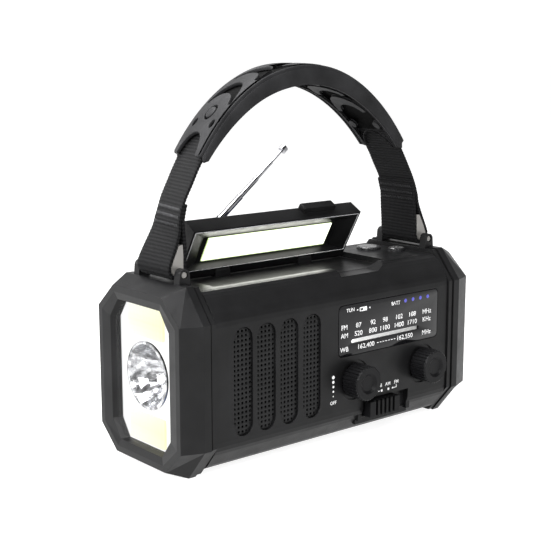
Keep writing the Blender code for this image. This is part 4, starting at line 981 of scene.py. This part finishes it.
# ---------------- torch
def build_reflector():
    """Metallised cup with staggered flat facets inside a smooth rim."""
    low, high = (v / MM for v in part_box("torch_reflector"))
    centre_z = (low.z + high.z) / 2
    sides = REFLECTOR_SIDES
    rings = []
    for i, (x, radius) in enumerate(REFLECTOR_RIM + REFLECTOR_CUP):
        shift = 0.5 if i > len(REFLECTOR_RIM) - 1 and i % 2 else 0.0
        rings.append([(x, radius * math.cos(a), centre_z + radius * math.sin(a))
                      for a in [2 * math.pi * (k + shift) / sides for k in range(sides)]])
    bm = bmesh.new()
    rows = [[bm.verts.new(point) for point in ring] for ring in rings]
    for i, (a, b) in enumerate(zip(rows, rows[1:])):
        for k in range(sides):
            j = (k + 1) % sides
            if i < len(REFLECTOR_RIM) - 1:
                faces = [(a[k], a[j], b[j], b[k])]
            elif i % 2 == 0:
                faces = [(a[k], a[j], b[k]), (a[j], b[j], b[k])]
            else:
                faces = [(a[k], b[j], b[k]), (a[k], a[j], b[j])]
            for face in faces:
                bm.faces.new(face)
    cup = piece("reflector_faceted", bm, mirror_facets(centre_z), "root", 1)
    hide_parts("torch_reflector")


# ---------------- lid
def on_lid(bm):
    """Swing geometry drawn with the lid shut up to its resting angle."""
    y, z = LID_HINGE
    bmesh.ops.rotate(bm, verts=bm.verts, cent=(0.0, y, z), matrix=Matrix.Rotation(-LID_OPEN, 3, "X"))
    return bm


def flat_block(x0, x1, y0, y1, z0, z1):
    corners = ((x0, y0), (x1, y0), (x1, y1), (x0, y1))
    return loft_rings([[(x, y, z) for x, y in corners] for z in (z0, z1)])


def lying(bm, top_z):
    """Lift a flat sheet so that its face is at top_z."""
    bmesh.ops.translate(bm, verts=bm.verts, vec=(0.0, 0.0, top_z))
    return bm


def build_lid():
    """Light grey strip round the lid's underside that paints the highlight on its mouth's edge, and the
    solar panel on its outer face.
    """
    y, z = LID_HINGE
    low, high = (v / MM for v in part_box("lid_frame"))
    front = y - LID_REACH
    # Painted highlight: a light grey strip along the mouth's edge stands in for the bright line of light
    # there.
    lip = cut_sheet([rounded_box(low.x + 0.85, high.x - 0.85, front + 0.85, y - 3.1, 0.5, 2),
                     rounded_box(low.x + 1.2, high.x - 1.2, front + 1.2, y - 3.4, 0.3, 2)], 0.3, 0.08)
    bright = moulded("lid_edge_painted_highlight", (0.30, 0.30, 0.31), (0.42, 0.42, 0.43), 0.25)
    piece("lid_edge_highlight_strip", on_lid(lying(lip, z - LID_BELOW + 0.18)), bright, "lid")
    build_solar_panel(low.x, high.x, front)


def build_solar_panel(left, right, front):
    """Laminate, cells and busbars within the lid's sides and behind its front edge."""
    hinge_y, hinge_z = LID_HINGE
    face = hinge_z + LID_ABOVE
    base = flat_block(left + 2.3, right - 2.3, front + 2.5, hinge_y - 0.3, face - 0.9, face - 0.16)
    backing = moulded("solar_backing", (0.010, 0.010, 0.014), (0.014, 0.014, 0.018), 0.18, 0.5, 0.005)
    panel = piece("solar_laminate", on_lid(base), backing, "lid")
    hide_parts("solar_panel")

    left, right = left + 3.2, right - 3.2
    near, far = front + 3.4, hinge_y - 1.2
    wide, deep = (right - left) / SOLAR_COLUMNS, (far - near) / SOLAR_ROWS
    cells, bars = [], []
    for i in range(SOLAR_COLUMNS):
        x = left + i * wide
        for j in range(SOLAR_ROWS):
            y = near + j * deep
            cells.append(rounded_box(x + CELL_GAP, x + wide - CELL_GAP,
                                     y + CELL_GAP, y + deep - CELL_GAP, 0.5, 2))
        for share in BUSBAR_SHARES:
            a, b = x + share * wide - BUSBAR_HALF, x + share * wide + BUSBAR_HALF
            bars.append([(a, near + 0.5), (b, near + 0.5), (b, far - 0.5), (a, far - 0.5)])
    cells = lying(gather([cut_sheet([cell], 0.05) for cell in cells]), face - 0.12)
    piece("solar_cells", on_lid(cells), solar_gloss(), "lid")
    bars = lying(gather([cut_sheet([bar], 0.03) for bar in bars]), face - 0.09)
    silver = plated_steel("busbar_silver", (0.6, 0.6, 0.62))
    piece("solar_busbars", on_lid(bars), silver, "lid")


# ---------------- finishes on the carried-over nodes
def soften(node, width):
    """Round a carried-over node's sharp edges without touching its mesh."""
    weld = node.modifiers.new("weld", "WELD")
    weld.merge_threshold = 0.002 * MM
    bevel = node.modifiers.new("bevel", "BEVEL")
    bevel.width = width * MM
    bevel.segments = 2
    bevel.limit_method = "ANGLE"
    bevel.angle_limit = math.radians(32)
    bevel.use_clamp_overlap = True
    node.modifiers.new("normals", "WEIGHTED_NORMAL").keep_sharp = True


def finish_nodes(nodes):
    """Give each group of carried-over nodes its material and the width of its rounded edges."""
    button = moulded("button_gloss", (0.010, 0.010, 0.011), (0.018, 0.018, 0.019), 0.22, specular=0.5)
    can = plated_steel("control_can", (0.34, 0.34, 0.35), 0.38)
    cone = moulded("speaker_cone_paper", (0.02, 0.02, 0.02), (0.035, 0.035, 0.035), 0.7)
    backing = moulded("dial_backing", (0.006, 0.006, 0.007), (0.010, 0.010, 0.011), 0.6)
    # Painted light: the pointer glows white though it is no lamp.
    pointer = glowing("pointer_painted_glow", (1.0, 1.0, 1.0), (0.8, 0.8, 0.8), 0.9)
    # Painted light: the torch's white carrier plate glows, standing in for the light on it; the LED and the
    # panels are the lamps.
    carrier = glowing("torch_plate_painted_glow", (1.0, 1.0, 1.0), (0.86, 0.9, 0.95), 0.92,
                      base=(0.25, 0.25, 0.25))
    led = glowing("torch_led_lit", (1.0, 1.0, 0.95), (1.0, 0.95, 0.7), 1.6)
    lamp_board = glowing("lamp_board_lit", (1.0, 1.0, 0.9), (0.9, 0.9, 0.7), 0.8)
    groups = (
        (case_plastic(), 0.35, ("housing_front", "housing_back", "end_cap_torch", "end_cap_ports",
                                "lid_frame", "battery_door", "crank_arm")),
        (knob_plastic(), 0.2, ("volume_knob", "tuning_knob", "band_switch_slider")),
        (button, 0.2, ("lamp_button", "sos_button")),
        (grip_rubber(), 0.25, ("crank_knob", "port_flap")),
        (chrome(), 0.0, ("antenna_base", "antenna_mast_1", "antenna_mast_2", "antenna_mast_3",
                         "antenna_mast_4", "antenna_tip")),
        (hanger_paint(), 0.25, ("strap_hanger_left", "strap_hanger_right")),
        (black_cloth_and_shade_filler(), 0.0, ("speaker_grille",)),
        (plated_steel(), 0.0, ("lid_hinge_pin", "crank_screw", "crank_knob_stem", "battery_door_screw",
                               "back_cover_screw_1", "back_cover_screw_2", "back_cover_screw_3",
                               "back_cover_screw_4")),
        (circuit_board(), 0.0, ("main_board", "button_board")),
        (nylon(), 0.0, ("drive_gear", "idler_gear", "generator_pinion")),
        (bronze(), 0.0, ("crank_bushing",)),
        (battery_sleeve(), 0.0, ("battery_cell",)),
        (can, 0.0, ("volume_potentiometer", "tuning_capacitor", "band_switch_body", "generator",
                    "port_board")),
        (cone, 0.0, ("speaker_driver",)),
        (backing, 0.0, ("dial_plate",)),
        (pointer, 0.0, ("tuning_pointer",)),
        (clear_window(), 0.0, ("torch_window",)),
        (carrier, 0.0, ("torch_plate",)),
        (led, 0.0, ("torch_led",)),
        (led_panel(), 0.0, ("cob_panel_upper", "cob_panel_lower")),
        (lamp_diffuser(), 0.15, ("lamp_lens",)),
        (lamp_board, 0.0, ("lamp_board",)),
    )
    for mat, width, names in groups:
        for name in names:
            node = nodes[name]
            for slot in node.material_slots:
                slot.material = mat
            if width:
                soften(node, width)


# ---------------- studio
def build_studio():
    """White floor, pale sky and soft area lights."""
    bpy.context.scene.view_settings.view_transform = "Standard"
    bm = bmesh.new()
    bmesh.ops.create_circle(bm, cap_ends=True, radius=FLOOR_RADIUS, segments=64)
    mesh = bpy.data.meshes.new("floor")
    bmesh.ops.scale(bm, verts=bm.verts, vec=(MM, MM, MM))
    bm.to_mesh(mesh)
    bm.free()
    mesh.materials.append(floor_paper())
    floor = bpy.data.objects.new("floor", mesh)
    bpy.context.scene.collection.objects.link(floor)

    build_sky()
    for name, place, aim, size, power in LIGHTS:
        light = bpy.data.lights.new(name, "AREA")
        light.shape = "RECTANGLE"
        light.size, light.size_y = (edge * MM for edge in size)
        light.energy = power
        item = bpy.data.objects.new(name, light)
        item.location = Vector(place) * MM
        item.rotation_euler = (Vector(aim) - Vector(place)).to_track_quat("-Z", "Y").to_euler()
        bpy.context.scene.collection.objects.link(item)


def build_sky():
    """Pale sky that is white at the horizon and falls to a dimmer grey overhead."""
    world = bpy.data.worlds.new("studio")
    bpy.context.scene.world = world
    world.use_nodes = True
    nodes = world.node_tree.nodes
    links = world.node_tree.links
    nodes["Background"].inputs["Color"].default_value = (1.0, 1.0, 1.0, 1.0)
    direction = nodes.new("ShaderNodeTexCoord")
    height = nodes.new("ShaderNodeSeparateXYZ")
    level = nodes.new("ShaderNodeMapRange")
    level.interpolation_type = "SMOOTHSTEP"
    level.inputs["From Min"].default_value = SKY_WHITE_TO
    level.inputs["From Max"].default_value = SKY_GREY_FROM
    level.inputs["To Min"].default_value = SKY_WHITE
    level.inputs["To Max"].default_value = SKY_GREY
    links.new(direction.outputs["Generated"], height.inputs[0])
    links.new(height.outputs["Z"], level.inputs["Value"])
    links.new(level.outputs[0], nodes["Background"].inputs["Strength"])


def build_camera():
    data = bpy.data.cameras.new("photo_view")
    data.lens = CAMERA_LENS
    data.sensor_width = 36.0
    data.clip_start = 0.01
    data.clip_end = 20.0
    camera = bpy.data.objects.new("photo_view", data)
    camera.location = Vector(CAMERA_AT) * MM
    camera.rotation_euler = (math.pi / 2 - CAMERA_PITCH, 0.0, -CAMERA_YAW)
    bpy.context.scene.collection.objects.link(camera)
    bpy.context.scene.camera = camera


# ---------------- the scene
for item in list(bpy.data.objects):
    bpy.data.objects.remove(item, do_unlink=True)
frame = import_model()
build_camera()
build_studio()
finish_nodes(frame["nodes"])
build_strap()
build_grip()
build_grilles()
build_dial()
build_panel_print()
build_reflector()
build_lid()
